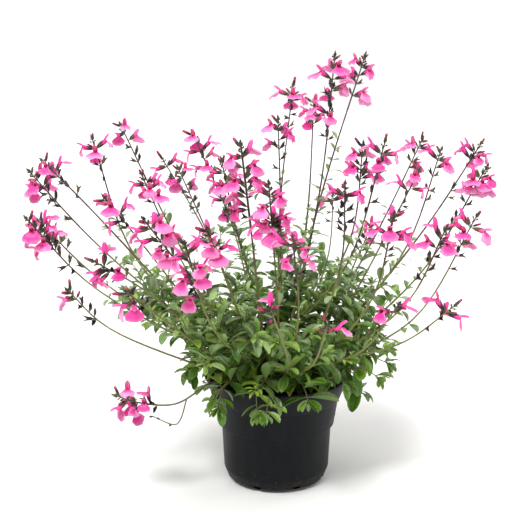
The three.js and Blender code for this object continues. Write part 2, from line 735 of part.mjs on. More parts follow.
// A spent calyx: two claws, open towards its end
function growSpent(body, root, place) {
  const mouth = addPoints(body, place, [
    ...diamond(SPENT.mouth, SPENT.radius),
    [SPENT.length, 0, SPENT.gape],
    [SPENT.length, 0, -SPENT.gape],
  ]);
  const [bottom, left, top, right, upper, lower] = [0, 1, 2, 3, 4, 5].map((i) => mouth + i);
  addSleeve(body, root, mouth);
  body.faces.push([left, top, upper], [top, right, upper], [left, upper, right]);
  body.faces.push([left, right, lower], [right, bottom, lower], [bottom, left, lower]);
}

// Plans: where everything grows, worked out before any of it is made

function planStem(row, index, branch, leader, forkNumber) {
  const foot = [branch.foot[0], branch.foot[1], MIX.top - FOOT.depth + FOOT.play];
  const collar = [branch.foot[0], branch.foot[1], MIX.top + FOOT.rise];
  const forkAt = STEM.firstFork + STEM.forkStep * forkNumber;
  const draw = drawsFrom(SEED.stems + index);
  const start = leader ? leader.path.at(forkAt) : collar;
  const path = new Path([start, ...row.via, row.tip], draw(0, 3), 8, leader ? [] : [foot]);
  const footRadius = leader ? STEM.forkRadius : STEM.footRadius;
  const stemEnd = path.length - row.raceme;
  return {
    ...row,
    index,
    path,
    stemEnd,
    isLeader: !leader,
    draw,
    radiusAt: (distance) => mix(footRadius, STEM.topRadius, Math.min(1, distance / stemEnd)),
  };
}

function planBranch(branch, rows, firstIndex) {
  const stems = [];
  rows.forEach((row, i) => stems.push(planStem(row, firstIndex + i, branch, stems[0], i - 1)));
  return { ...branch, node: `branch_${branch.name}`, stems };
}

function planPlant() {
  const rows = [...STEMS, TRAILER];
  let index = 0;
  return BRANCHES.map((branch) => {
    const own = rows.filter((row) => row.branch === branch.name);
    const plan = planBranch(branch, own, index);
    index += own.length;
    return plan;
  });
}

function racemeRadius(stem) {
  const budStart = stem.path.length - RACEME.budLength;
  return (distance) => {
    if (distance >= stem.path.length - 0.01) return RACEME.tipRadius;
    if (distance > budStart - 0.01) return RACEME.budRadius;
    return mix(RACEME.footRadius, RACEME.waistRadius, (distance - stem.stemEnd) / stem.raceme);
  };
}

// Where the buds, open flowers and spent calyces of a raceme sit, from its tip down
function flowerLevels(stem) {
  const { draw, path } = stem;
  const [open, closed, spent] = stem.flowers;
  const firstFace = Math.floor(draw(0, 4));
  const levels = [];
  for (const [kind, count] of [["bud", closed], ["open", open], ["spent", spent]]) {
    for (let i = 0; i < count; i += 1) {
      if (i % 2 === 0) {
        const number = levels.length;
        levels.push({
          distance: path.length - RACEME.budLength - RACEME.neck - RACEME.step * number,
          face: firstFace + number,
          sites: [],
        });
      }
      const rise = degrees(FLOWER_RISE[kind]) + draw(-FLOWER_SPREAD.rise, FLOWER_SPREAD.rise);
      const turn = draw(-FLOWER_SPREAD.turn, FLOWER_SPREAD.turn);
      levels[levels.length - 1].sites.push({ kind, rise, turn });
    }
  }
  return levels;
}

// Tries the faces of a joint, and turns from each, until a piece is clear of the rest, and claims its room
function seat(room, ownStem, taken, firstFace, makeTrial) {
  for (const step of FACE_TRIES) {
    const face = (firstFace + step) % 4;
    for (const swing of taken.has(face) ? [] : SWINGS) {
      const trial = makeTrial(face, degrees(swing));
      if (room.fits(trial.balls, ownStem)) {
        room.claim(trial.balls, `${ownStem} piece`);
        taken.add(face);
        return { ...trial, face };
      }
    }
  }
  return null;
}

const FLOWER_MAKERS = { open: growBloom, bud: growBud, spent: growSpent };

function seatFlowers(room, owner, stem, radiusAt) {
  return flowerLevels(stem).map(({ distance, face, sites }) => {
    const taken = new Set();
    const pieces = sites.map(({ kind, rise, turn }, i) => {
      const seated = seat(room, owner, taken, face + 2 * i, (trialFace, swing) => {
        const place = placeOnFace(stem.path, distance, radiusAt(distance), trialFace, turn + swing, rise);
        return { place, balls: ballsAt(place, kind === "open" ? BLOOM_BALLS : POD_BALLS) };
      });
      return seated && { ...seated, grow: FLOWER_MAKERS[kind] };
    });
    return { distance, pieces: pieces.filter(Boolean) };
  });
}

// Leaves are largest low on the plant
function leafSize(height, share) {
  const t = Math.min(1, Math.max(0, (height - LEAF.lowHeight) / (LEAF.topHeight - LEAF.lowHeight)));
  return {
    length: mix(LEAF.lowLength, LEAF.topLength, t) * share,
    width: mix(LEAF.lowWidth, LEAF.topWidth, t) * share,
  };
}

// The leaves of a joint: an opposite pair first, and smaller ones between them
function seatLeaves(room, owner, path, radiusAt, distance, firstFace, count, draw) {
  const taken = new Set();
  const pieces = [0, 2, 1, 3].slice(0, count).map((quarter, i) => {
    const rise = degrees(draw(LEAF_SPREAD.lowRise, LEAF_SPREAD.highRise));
    const turn = draw(-LEAF_SPREAD.turn, LEAF_SPREAD.turn);
    const share = draw(LEAF_SPREAD.smallest, LEAF_SPREAD.largest) * (i < 2 ? 1 : LEAF_SPREAD.between);
    const size = leafSize(path.at(distance)[2], share);
    const seated = seat(room, owner, taken, firstFace + quarter, (face, swing) => {
      const place = placeOnFace(path, distance, radiusAt(distance), face, turn + swing, rise);
      return { place, balls: leafBalls(place, size) };
    });
    return seated && { ...seated, grow: leafMaker(size) };
  });
  return { distance, pieces: pieces.filter(Boolean) };
}

// The joints with leaves up a stem, each turned a quarter from the last
function leafJoints(room, stem, owner) {
  const { draw, path } = stem;
  const from = stem.isLeader ? LEAFY.leaderFrom : LEAFY.from;
  const levels = Math.floor((stem.stemEnd * LEAFY.share - from) / LEAFY.spacing);
  const firstLevel = stem.index % LEAFY.keep;
  const joints = [];
  for (let level = firstLevel; level < levels; level += LEAFY.keep) {
    const distance = from + LEAFY.spacing * level;
    const count = LEAFY.counts[joints.length] ?? 2;
    joints.push(seatLeaves(room, owner, path, stem.radiusAt, distance, level, count, draw));
  }
  return joints;
}

function planShoot(stem) {
  const { draw, path } = stem;
  const start = mix(SHOOT.lowStart, SHOOT.highStart, draw(0, 1)) * stem.stemEnd + SHOOT.startOffset;
  const origin = path.at(start);
  const outward = Math.atan2(origin[1], origin[0]) + draw(-SHOOT.sidewaysSpread, SHOOT.sidewaysSpread);
  const reach = draw(SHOOT.shortest, SHOOT.longest);
  const rise = degrees(draw(0, SHOOT.steepest));
  const flat = [Math.cos(outward), Math.sin(outward), 0];
  const end = add(origin, add(scale(flat, reach * Math.cos(rise)), scale(UP, reach * Math.sin(rise))));
  const middle = add(mixPoints(origin, end, 0.5), scale(UP, reach * SHOOT.arch));
  return new Path([origin, middle, end], draw(0, 3), 4);
}

// Building: each branch and raceme from its plan

function claimStems(room, branches) {
  for (const stem of branches.flatMap((branch) => branch.stems)) {
    const radiusAt = racemeRadius(stem);
    room.claim(ballsAlong(stem.path, 0, stem.stemEnd, stem.radiusAt), `stem_${stem.index}`);
    room.claim(ballsAlong(stem.path, stem.stemEnd + 1, stem.path.length, radiusAt), `raceme_${stem.index}`);
  }
}

function racemeSolid(room, stem) {
  const { path } = stem;
  const radiusAt = racemeRadius(stem);
  const joints = seatFlowers(room, `raceme_${stem.index}`, stem, radiusAt);
  joints.push({ distance: path.length - RACEME.budLength });
  const body = stemBody(path, stem.stemEnd + SEAT_GAP, path.length, radiusAt, joints, STEM.span);
  return solidFrom(body.points, body.faces);
}

function shootSolid(room, stem) {
  const path = planShoot(stem);
  const owner = `shoot_${stem.index}`;
  const radiusAt = (distance) => mix(SHOOT.radius, SHOOT.tipRadius, distance / path.length);
  const balls = ballsAlong(path, SHOOT.rootLength, path.length, radiusAt);
  if (!room.fits(balls, `stem_${stem.index}`)) return null;
  room.claim(balls, owner);
  const joints = SHOOT.pairs.map((share, i) =>
    seatLeaves(room, owner, path, radiusAt, path.length * share, i, 2, stem.draw),
  );
  const body = stemBody(path, 0, path.length, radiusAt, joints, STEM.span);
  return solidFrom(body.points, body.faces);
}

function stemSolid(room, stem) {
  const joints = leafJoints(room, stem, `stem_${stem.index}`);
  if (stem.isLeader) joints.push({ distance: stem.path.distances[1] });
  const body = stemBody(stem.path, 0, stem.stemEnd, stem.radiusAt, joints, STEM.span);
  return solidFrom(body.points, body.faces);
}

function branchSolid(room, branch) {
  const bearers = branch.stems.filter(({ index }) => SHOOT.bearers.includes(index % SHOOT.every));
  const shoots = bearers.map((stem) => shootSolid(room, stem));
  const stems = branch.stems.map((stem) => stemSolid(room, stem));
  return [...stems, ...shoots.filter(Boolean)].reduce((whole, solid) => whole.add(solid));
}

function buildPlant() {
  const group = new THREE.Group();
  const branches = planPlant();
  const room = new Room();
  claimStems(room, branches);
  group.add(meshFrom("pot", potSolid(), FINISH.plastic));
  group.add(meshFrom("potting_mix", mixSolid(branches), FINISH.mix));
  for (const branch of branches) {
    branch.stems.forEach((stem, i) => {
      group.add(meshFrom(`raceme_${branch.name}_${i + 1}`, racemeSolid(room, stem), FINISH.flower));
    });
  }
  for (const branch of branches) {
    group.add(meshFrom(branch.node, branchSolid(room, branch), FINISH.foliage));
  }
  return group;
}

export default buildPlant();
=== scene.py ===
"""Potted baby sage in flower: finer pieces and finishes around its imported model.

Plans and sizes are in millimetres and meshes in metres. Z is up, and -Y is the front.
"""

from __future__ import annotations

import json
import logging
from dataclasses import dataclass, field
from enum import Enum, IntEnum
from math import atan2, ceil, cos, exp, floor, pi, radians, sin, sqrt

import bpy
import numpy as np
from bpy.types import Material, Mesh, NodeSocket, Object
from mathutils import Matrix, Vector

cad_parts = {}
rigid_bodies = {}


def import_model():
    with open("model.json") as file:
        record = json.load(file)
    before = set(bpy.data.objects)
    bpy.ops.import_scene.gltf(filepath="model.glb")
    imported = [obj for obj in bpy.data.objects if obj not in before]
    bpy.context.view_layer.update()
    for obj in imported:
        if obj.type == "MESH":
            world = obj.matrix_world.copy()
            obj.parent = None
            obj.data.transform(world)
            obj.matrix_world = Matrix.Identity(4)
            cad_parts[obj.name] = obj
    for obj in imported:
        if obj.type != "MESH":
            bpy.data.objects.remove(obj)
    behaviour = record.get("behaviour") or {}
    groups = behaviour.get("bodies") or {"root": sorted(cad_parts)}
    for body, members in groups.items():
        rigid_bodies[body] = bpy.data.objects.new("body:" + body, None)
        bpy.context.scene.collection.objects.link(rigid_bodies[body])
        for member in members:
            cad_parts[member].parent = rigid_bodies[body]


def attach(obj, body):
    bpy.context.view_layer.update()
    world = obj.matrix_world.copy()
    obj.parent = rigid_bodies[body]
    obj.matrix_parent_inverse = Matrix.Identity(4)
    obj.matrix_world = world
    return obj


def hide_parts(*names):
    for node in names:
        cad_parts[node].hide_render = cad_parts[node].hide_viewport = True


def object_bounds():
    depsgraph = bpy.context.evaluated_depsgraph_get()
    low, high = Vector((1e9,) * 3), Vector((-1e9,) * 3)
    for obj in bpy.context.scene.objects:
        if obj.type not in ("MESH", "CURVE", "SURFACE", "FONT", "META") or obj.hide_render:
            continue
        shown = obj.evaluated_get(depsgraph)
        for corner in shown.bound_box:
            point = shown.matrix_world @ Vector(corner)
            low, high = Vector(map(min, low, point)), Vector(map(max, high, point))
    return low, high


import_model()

LOG = logging.getLogger("baby_sage")
CAD_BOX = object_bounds()

Array = np.ndarray
Span = tuple[float, float]
Spot = tuple[float, float, float]
Balls = tuple[Array, Array]

# Metres in a millimetre
MM = 0.001

# The numbers that turn a seed into draws
MULTIPLIER = 16807
MODULUS = 2147483647
SEED_STEP = 7919
SEED_START = 17

# A direction that no stem points in, and the upright one
SIDE_HINT = np.array([0.31, 0.94, 0.17])
UP = np.array([0.0, 0.0, 1.0])

# The turns a piece tries to find room, and the order in which it tries a stem's faces
SWINGS = (0, 24, -24, 42, -42)
FACE_TRIES = (0, 1, 3, 2)

# The balls that stand for an open flower and for a bud or calyx: forward, side, up and radius
BLOOM_ROWS = (
    (6, 0, 0, 1.8),
    (11, 0, 0, 2.6),
    (15.5, 0, 0, 3),
    (20.5, 0, 0.5, 3.4),
    (26.5, 0, 4.9, 1.6),
    (23, 0, -7.15, 4.4),
    (24, 5.4, -5.5, 3.6),
    (24, -5.4, -5.5, 3.6),
)
POD_ROWS = ((4, 0, 0, 2.2), (8, 0, 0, 2.2), (12, 0, 0, 2.2))
# The far points of an open flower of size one
BLOOM_OUTLINE = np.array([(28, 0, 4, 1.0), (26, 13, -11, 0.5), (26, -13, -11, 0.5)])

# The branches and where each stands in the pot, sorted round the plant from the right
BRANCHES = {
    "right": (31, 2),
    "right_back": (24, 19),
    "back": (7, 31),
    "left_back": (-15, 27),
    "left_rear": (-31, 13),
    "left": (-33, -3),
    "left_front": (-28, -19),
    "front_left": (-12, -30),
    "front": (6, -32),
    "right_front": (24, -21),
    "centre": (1, 1),
}

# Every flowering stem of each branch: the points it passes up to its tip, the length of its raceme, how many
# of its flowers are open, closed buds and spent calyces in the solids, and how many more are open here. The
# first stem of a branch is its leader.
STEMS = {
    "right": [
        (((190, 30, 326), (287, 55, 468)), 115, (2, 2, 2), 3),
        (((190, 0, 283), (282, 0, 440)), 110, (3, 1, 2), 5),
        (((179, -40, 234), (258, -60, 384)), 120, (3, 1, 2), 2),
        (((130, 52, 285), (207, 88, 428)), 90, (3, 1, 1), 1),
    ],
    "right_back": [
        (((176, 75, 293), (244, 130, 454)), 105, (3, 1, 2), 0),
        (((143, 105, 319), (226, 185, 465)), 95, (3, 2, 2), 1),
        (((95, 130, 225), (158, 232, 325)), 85, (2, 1, 2), 2),
    ],
    "back": [
        (((45, 120, 335), (62, 250, 521)), 95, (3, 1, 2), 4),
        (((5, 90, 349), (27, 175, 546)), 90, (2, 1, 1), 3),
        (((78, 160, 271), (96, 272, 371)), 80, (2, 1, 2), 0),
        (((5, 160, 225), (8, 285, 318)), 85, (2, 1, 2), 5),
    ],
    "left_back": [
        (((-100, 140, 313), (-180, 235, 430)), 95, (3, 1, 2), 0),
        (((-50, 125, 284), (-85, 225, 377)), 80, (2, 1, 2), 3),
        (((-85, 80, 300), (-147, 140, 426)), 100, (3, 2, 2), 0),
        (((-62, 165, 220), (-118, 258, 308)), 85, (2, 1, 2), 0),
    ],
    "left_rear": [
        (((-197, 68, 293), (-268, 120, 471)), 105, (4, 1, 2), 0),
        (((-150, 100, 330), (-237, 185, 487)), 85, (3, 1, 1), 0),
        (((-239, 45, 310), (-353, 75, 426)), 115, (3, 1, 2), 4),
    ],
    "left": [
        (((-235, 10, 358), (-321, 20, 445)), 95, (2, 1, 2), 1),
        (((-130, -8, 312), (-183, -8, 433)), 105, (4, 1, 2), 2),
        (((-225, -24, 277), (-320, -28, 372)), 110, (1, 1, 4), 0),
        (((-228, -68, 279), (-313, -110, 386)), 115, (4, 1, 2), 5),
        (((-155, -45, 310), (-223, -72, 408)), 100, (3, 1, 2), 1),
    ],
    "left_front": [
        (((-150, -105, 277), (-224, -165, 342)), 90, (2, 2, 2), 3),
        (((-200, -90, 228), (-262, -130, 300)), 80, (1, 2, 2), 0),
        (((-132, -138, 254), (-176, -222, 317)), 75, (1, 1, 2), 1),
        (
            ((-62, -52, 160), (-92, -66, 153), (-132, -80, 132), (-178, -88, 136), (-216, -92, 150)),
            80,
            (3, 1, 2),
            5,
        ),
    ],
    "front_left": [
        (((-30, -98, 332), (-46, -130, 480)), 120, (4, 1, 1), 6),
        (((-100, -112, 292), (-159, -185, 396)), 95, (3, 1, 2), 6),
        (((-54, -112, 276), (-85, -182, 385)), 85, (2, 1, 2), 3),
        (((-77, -155, 251), (-105, -245, 379)), 115, (4, 1, 1), 6),
    ],
    "front": [
        (((-2, -120, 293), (-13, -190, 439)), 110, (4, 1, 1), 9),
        (((23, -165, 267), (12, -265, 389)), 85, (3, 1, 1), 2),
        (((12, -150, 210), (-12, -245, 304)), 60, (1, 2, 1), 0),
        (((40, -150, 205), (54, -238, 283)), 55, (1, 2, 1), 0),
    ],
    "right_front": [
        (((75, -105, 308), (76, -168, 436)), 95, (2, 1, 2), 0),
        (((111, -122, 274), (130, -200, 405)), 110, (4, 1, 1), 1),
        (((157, -80, 258), (206, -125, 378)), 100, (4, 1, 1), 1),
        (((100, -140, 220), (138, -215, 303)), 65, (2, 1, 1), 0),
        (((150, -95, 215), (221, -138, 283)), 75, (2, 1, 1), 1),
    ],
    "centre": [
        (((55, -2, 389), (75, -4, 585)), 135, (4, 1, 2), 5),
        (((60, 45, 383), (126, 95, 587)), 105, (4, 2, 2), 3),
        (((6, 45, 356), (2, 78, 501)), 100, (3, 1, 2), 1),
        (((-46, 22, 310), (-77, 40, 446)), 90, (1, 2, 2), 4),
        (((-58, 60, 340), (-123, 112, 479)), 105, (4, 1, 2), 3),
        (((98, 18, 325), (118, 34, 469)), 100, (2, 1, 2), 4),
        (((94, -40, 315), (136, -66, 479)), 110, (4, 1, 2), 1),
    ],
}


class Part(IntEnum):
    """What a face belongs to, which decides its finish."""

    STEM = 0
    LEAF = 1
    CALYX = 2
    PETAL = 3
    BUD = 4
    STAMEN = 5
    BARK = 6
    PERLITE = 7


class Flower(IntEnum):
    """The shapes that grow on a raceme, in the order of their templates."""

    OPEN = 0
    OPEN_WIDE = 1
    OPEN_YOUNG = 2
    BUD = 3
    SPENT = 4
    SPENT_WIDE = 5
    TIP = 6
    YOUNG = 7


class Seed(IntEnum):
    """Where the seeds of each kind of draws start. A stem's or runner's number is added."""

    STEM = 4100
    LOOKS = 9000
    RACEME = 9100
    SHOOT = 9200
    STEM_LEAVES = 9300
    UPPER = 9600
    BASAL = 9700
    RIM = 10400
    RUNNER = 10500
    CURL = 10900


# What each low shoot of a branch adds to its seed
BASAL_STEP = 50


# Small vector helpers


def unit(a: Array) -> Array:
    """The vector at length one."""
    return a / sqrt(a @ a)


def mix(a: float, b: float, t: float) -> float:
    """The value or point that lies at share t between a and b."""
    return a + (b - a) * t


def stops_between(start: float, end: float, count: int) -> list[float]:
    """Even stops from start to end, one more than the count."""
    return [mix(start, end, i / count) for i in range(count + 1)]


def squared(a: Array, axis: Array) -> Array:
    """The direction of a, made square to the axis."""
    return unit(a - axis * (a @ axis))


class Draws:
    """Seeded random draws, the same ones as in the part's source."""

    def __init__(self, seed: int) -> None:
        """Start from a seed, two draws on."""
        self.state = (seed * SEED_STEP + SEED_START) * MULTIPLIER**2 % MODULUS

    def draw(self, low: float, high: float) -> float:
        """The next number, between low and high."""
        self.state = self.state * MULTIPLIER % MODULUS
        return low + (high - low) * self.state / MODULUS


class Path:
    """A smooth path through points, read by the distance along it."""

    def __init__(self, controls: list, spin: float = 0.0, steps: int = 8, foot: list | None = None) -> None:
        """Lay the path.

        Args:
            controls: the points that it passes.
            spin: turn of a square stem's edges round it, in radians.
            steps: short straight lengths between two controls.
            foot: points before the first control.
        """
        self.points = np.array([*(foot or []), *smooth_points(controls, steps)], dtype=float)
        lengths = np.linalg.norm(np.diff(self.points, axis=0), axis=1)
        self.distances = np.concatenate([[0.0], np.cumsum(lengths)])
        self.length = float(self.distances[-1])
        self.sides = self.sides_along(spin)

    def sides_along(self, spin: float) -> list[Array]:
        """Carry one edge's direction up the stem without a twist.

        Args:
            spin: the turn at the foot, in radians.

        Returns:
            The direction at each point.
        """
        axis = self.axis_of(1)
        first = unit(np.cross(axis, SIDE_HINT))
        sides = [first * cos(spin) + np.cross(axis, first) * sin(spin)]
        for i in range(1, len(self.points)):
            sides.append(squared(sides[-1], self.axis_of(i)))
        return sides

    def axis_of(self, i: int) -> Array:
        """The direction of the length that ends at point i."""
        return unit(self.points[i] - self.points[i - 1])

    def span_at(self, distance: float) -> int:
        """The number of the length that holds this distance."""
        i = int(np.searchsorted(self.distances, distance, side="left"))
        return min(max(i, 1), len(self.points) - 1)

    def at(self, distance: float) -> Array:
        """Find the point at a distance.

        Args:
            distance: how far along the path.

        Returns:
            The point.
        """
        i = self.span_at(distance)
        start, end = self.distances[i - 1 : i + 1]
        return mix(self.points[i - 1], self.points[i], (distance - start) / (end - start))

    def edges_at(self, distance: float) -> tuple[Array, list[Array]]:
        """Find the axis and the stem's four edges.

        Args:
            distance: how far along the path.

        Returns:
            The axis, and the directions of the four edges.
        """
        i = self.span_at(distance)
        axis = self.axis_of(i)
        side = squared(self.sides[i], axis)
        other = np.cross(axis, side)
        return axis, [side, other, -side, -other]


def smooth_points(controls: list, steps: int) -> list[Array]:
    """Lay a curve through every control point.

    Args:
        controls: the points that it passes.
        steps: points for each span.

    Returns:
        The points of the curve.
    """
    given = [np.array(point, dtype=float) for point in controls]
    row = [given[0] * 2 - given[1], *given, given[-1] * 2 - given[-2]]
    points = [given[0]]
    for span in range(1, len(given)):
        a, b, c, d = row[span - 1 : span + 3]
        start, end = (c - a) / 2, (d - b) / 2
        square = 3 * (c - b) - 2 * start - end
        cube = 2 * (b - c) + start + end
        for step in range(1, steps + 1):
            t = step / steps
            points.append(b + start * t + square * t * t + cube * t * t * t)
    return points


@dataclass
class Place:
    """A place with a direction: forward, side and up are at right angles."""

    origin: Array
    forward: Array
    up_hint: Array = field(default_factory=lambda: UP)

    def __post_init__(self) -> None:
        """Work out the other two directions."""
        self.forward = unit(self.forward)
        self.side = unit(np.cross(self.up_hint, self.forward))
        self.up = np.cross(self.forward, self.side)

    def balls(self, rows: tuple) -> Balls:
        """The balls of a piece that grows here, from rows of forward, side, up and radius."""
        table = np.array(rows, dtype=float)
        return self.origin + table[:, :3] @ np.array([self.forward, self.side, self.up]), table[:, 3]


@dataclass
class Room:
    """The room of the plant: balls, as centres and radii, that stand for what is already placed."""

    clearance: float = 0.7
    reach: float = 12.0
    lip_radius: float = 100.0
    inside_radius: float = 84.0
    mix_floor: float = 130.6
    rim_floor: float = 150.0
    capacity: int = 90000
    box_margin: float = 1.5
    # The outline of the leafy mound: height, and how far it reaches to the left and to the right
    mound: tuple = ((128, 118, 134), (188, 120, 160), (206, 150, 176), (236, 215, 205), (290, 420, 420))
    keeps_mound: bool = False

    def __post_init__(self) -> None:
        """Start with an empty room."""
        self.centres = np.zeros((self.capacity, 3))
        self.radii = np.zeros(self.capacity)
        self.owners = np.full(self.capacity, -1)
        self.count = 0
        self.numbers: dict[str, int] = {}
        self.low, self.high = np.array(CAD_BOX) / MM + [[self.box_margin], [-self.box_margin]]

    def number_of(self, owner: str) -> int:
        """The number that stands for an owner's name."""
        return self.numbers.setdefault(owner, len(self.numbers))

    def clear_of_pot(self, balls: Balls) -> bool:
        """Tell whether balls are above the pot and the mix, or outside the lip.

        Args:
            balls: the balls.

        Returns:
            True where every ball is clear.
        """
        centres, radii = balls
        out = np.hypot(centres[:, 0], centres[:, 1])
        lowest = np.where(out + radii < self.inside_radius, self.mix_floor, self.rim_floor)
        outside = out - radii > self.lip_radius + self.clearance
        return bool((outside | (centres[:, 2] - radii > lowest + self.clearance)).all())

    def in_box(self, balls: Balls) -> bool:
        """Tell whether balls are inside the box of the solids."""
        centres, radii = balls[0], balls[1][:, None]
        return bool(((centres - radii > self.low) & (centres + radii < self.high)).all())

    def in_mound(self, balls: Balls) -> bool:
        """Tell whether balls are inside the mound, which is narrow at its foot.

        Args:
            balls: the balls.

        Returns:
            True where every centre is inside.
        """
        x, y, z = balls[0].T
        heights, left, right = np.array(self.mound, dtype=float).T
        reach = np.hypot(x, y)
        most = mix(np.interp(z, heights, left), np.interp(z, heights, right), 0.5 + 0.5 * x / reach)
        return bool((reach < most).all())

    def fits(self, balls: Balls, own: str, clearance: float | None = None) -> bool:
        """Tell whether balls are clear of the pot and of all other owners' balls.

        Args:
            balls: the balls.
            own: the owner that may be touched.
            clearance: the space kept, where it isn't the room's own. Such balls stay in the box too.

        Returns:
            True where every ball is clear.
        """
        if not self.clear_of_pot(balls) or (clearance is not None and not self.in_box(balls)):
            return False
        if self.keeps_mound and not self.in_mound(balls):
            return False
        centres, radii = balls
        space = self.clearance if clearance is None else clearance
        placed = self.centres[: self.count]
        low, high = centres.min(axis=0) - self.reach, centres.max(axis=0) + self.reach
        inside = ((placed > low) & (placed < high)).all(axis=1)
        near = np.flatnonzero(inside & (self.owners[: self.count] != self.number_of(own)))
        gaps = np.linalg.norm(centres[:, None] - placed[near][None], axis=2)
        return bool((gaps > radii[:, None] + self.radii[near][None] + space).all())

    def claim(self, balls: Balls, owner: str) -> None:
        """Take room for balls.

        Args:
            balls: the balls.
            owner: whose they are.
        """
        rows = slice(self.count, self.count + len(balls[1]))
        self.centres[rows], self.radii[rows] = balls
        self.owners[rows] = self.number_of(owner)
        self.count = rows.stop


# The plan of the plant, which first follows the part's source draw by draw


@dataclass
class Stalk:
    """A stem, shoot or axis that leaves or flowers grow from, with its half diagonal at both ends."""

    owner: str
    path: Path
    radii: Span
    taper: float

    def radius_at(self, distance: float) -> float:
        """The half diagonal at a distance."""
        return mix(*self.radii, min(1.0, distance / self.taper))

    def balls(self, start: float, end: float, spacing: float = 3.0) -> Balls:
        """Balls that stand for a stretch of it, with their centres and radii."""
        stops = stops_between(start, end, max(1, ceil((end - start) / spacing)))
        return np.array([self.path.at(s) for s in stops]), np.array([self.radius_at(s) for s in stops])

    def place(self, distance: float, face: int, swing: float, rise: float) -> Place:
        """Find a place on one face.

        Args:
            distance: how far along the path.
            face: the number of the face.
            swing: the turn round the stalk, in radians.
            rise: the lift towards its tip, in radians.

        Returns:
            The place, which looks outwards.
        """
        axis, edges = self.path.edges_at(distance)
        normal = unit(edges[face % 4] + edges[(face + 1) % 4])
        outward = normal * cos(swing) + np.cross(axis, normal) * sin(swing)
        forward = outward * cos(rise) + axis * sin(rise)
        return Place(self.path.at(distance) + normal * (self.radius_at(distance) * sqrt(0.5)), forward)


@dataclass
class StemPlan(Stalk):
    """One flowering stem, with the stretch that is its raceme."""

    index: int
    branch: str
    is_leader: bool
    raceme: float
    flowers: tuple[int, int, int]
    more_open: int
    draws: Draws

    @property
    def stem_end(self) -> float:
        """Where the leafy stem ends and the raceme starts."""
        return self.path.length - self.raceme


@dataclass
class RacemeAxis(Stalk):
    """The axis of a raceme, which ends in a thicker bud."""

    start: float
    bud_radius: float = 1.7
    tip_radius: float = 0.5
    bud_length: float = 9.0
    neck: float = 4.0
    step: float = 12.5

    def radius_at(self, distance: float) -> float:
        """The half diagonal at a distance.

        Args:
            distance: how far along the path.

        Returns:
            The axis's own, the bud's or the tip's.
        """
        if distance >= self.path.length - 0.01:
            return self.tip_radius
        if distance > self.path.length - self.bud_length - 0.01:
            return self.bud_radius
        return mix(*self.radii, (distance - self.start) / self.taper)

    def level(self, number: float) -> float:
        """The distance of a level, counted from the tip."""
        return self.path.length - self.bud_length - self.neck - self.step * number


@dataclass
class Sprout:
    """What is to grow on a face: where along the stalk, how it turns, and the balls that stand for it."""

    distance: float
    turn: float
    rise: float
    rows: tuple


@dataclass
class Sprig:
    """One leaf, flower or bud that grows at a place."""

    place: Place
    shape: int
    size: Spot
    tint: float


@dataclass
class Growth:
    """All that grows as one piece: stems with their thickness, and sprigs."""

    stems: list[tuple[Array, list[float]]] = field(default_factory=list)
    sprigs: list[Sprig] = field(default_factory=list)

    def add_stem(self, stalk: Stalk, start: float, end: float, most: float = 9.0, step: float = 6.0) -> None:
        """Add a stretch of stem.

        Args:
            stalk: the stem.
            start: where the stretch starts along it.
            end: where it ends.
            most: the largest half diagonal.
            step: the distance between its points.
        """
        stops = stops_between(start, end, max(2, round((end - start) / step)))
        points = np.array([stalk.path.at(stop) for stop in stops])
        self.stems.append((points, [min(most, stalk.radius_at(stop)) for stop in stops]))

    def add_bloom(self, place: Place, shape: Flower, size: float, tint: float) -> None:
        """Add a flower, bud or calyx."""
        self.sprigs.append(Sprig(place, shape, (size, size, size), tint))


@dataclass(frozen=True)
class StagePlan:
    """How flowers of one stage rise and differ, and the balls that stand for them."""

    rise: float
    sizes: Span
    shapes: tuple[Flower, ...]
    rows: tuple
    rise_spread: float = 0.15
    turn_spread: float = 0.25


class Stage(Enum):
    """The stages of a flower."""

    OPEN = StagePlan(22.0, (0.92, 1.16), (Flower.OPEN, Flower.OPEN_WIDE, Flower.OPEN_YOUNG), BLOOM_ROWS)
    BUD = StagePlan(42.0, (0.85, 1.25), (Flower.BUD,), POD_ROWS)
    SPENT = StagePlan(42.0, (0.85, 1.25), (Flower.SPENT, Flower.SPENT_WIDE), POD_ROWS)

    def sprout(self, distance: float, draws: Draws) -> Sprout:
        """Draw how one flower grows.

        Args:
            distance: where along the raceme.
            draws: the draws for it.

        Returns:
            The sprout.
        """
        plan = self.value
        rise = radians(plan.rise) + draws.draw(-plan.rise_spread, plan.rise_spread)
        return Sprout(distance, draws.draw(-plan.turn_spread, plan.turn_spread), rise, plan.rows)


@dataclass(frozen=True)
class StemRules:
    """Where stems start, above the mix or along the branch's leader, and how thick they are."""

    foot: float = 134.0
    buried: float = 106.3
    fork: float = 34.0
    fork_step: float = 13.0
    leader_radius: float = 3.2
    side_radius: float = 2.1
    top_radius: float = 1.15
    axis_radii: Span = (1.1, 0.8)
    # How far the leafy stem stops short of the raceme, and the raceme starts past it
    joint: float = 0.4
    joint_clear: float = 1.0


RULES = StemRules()


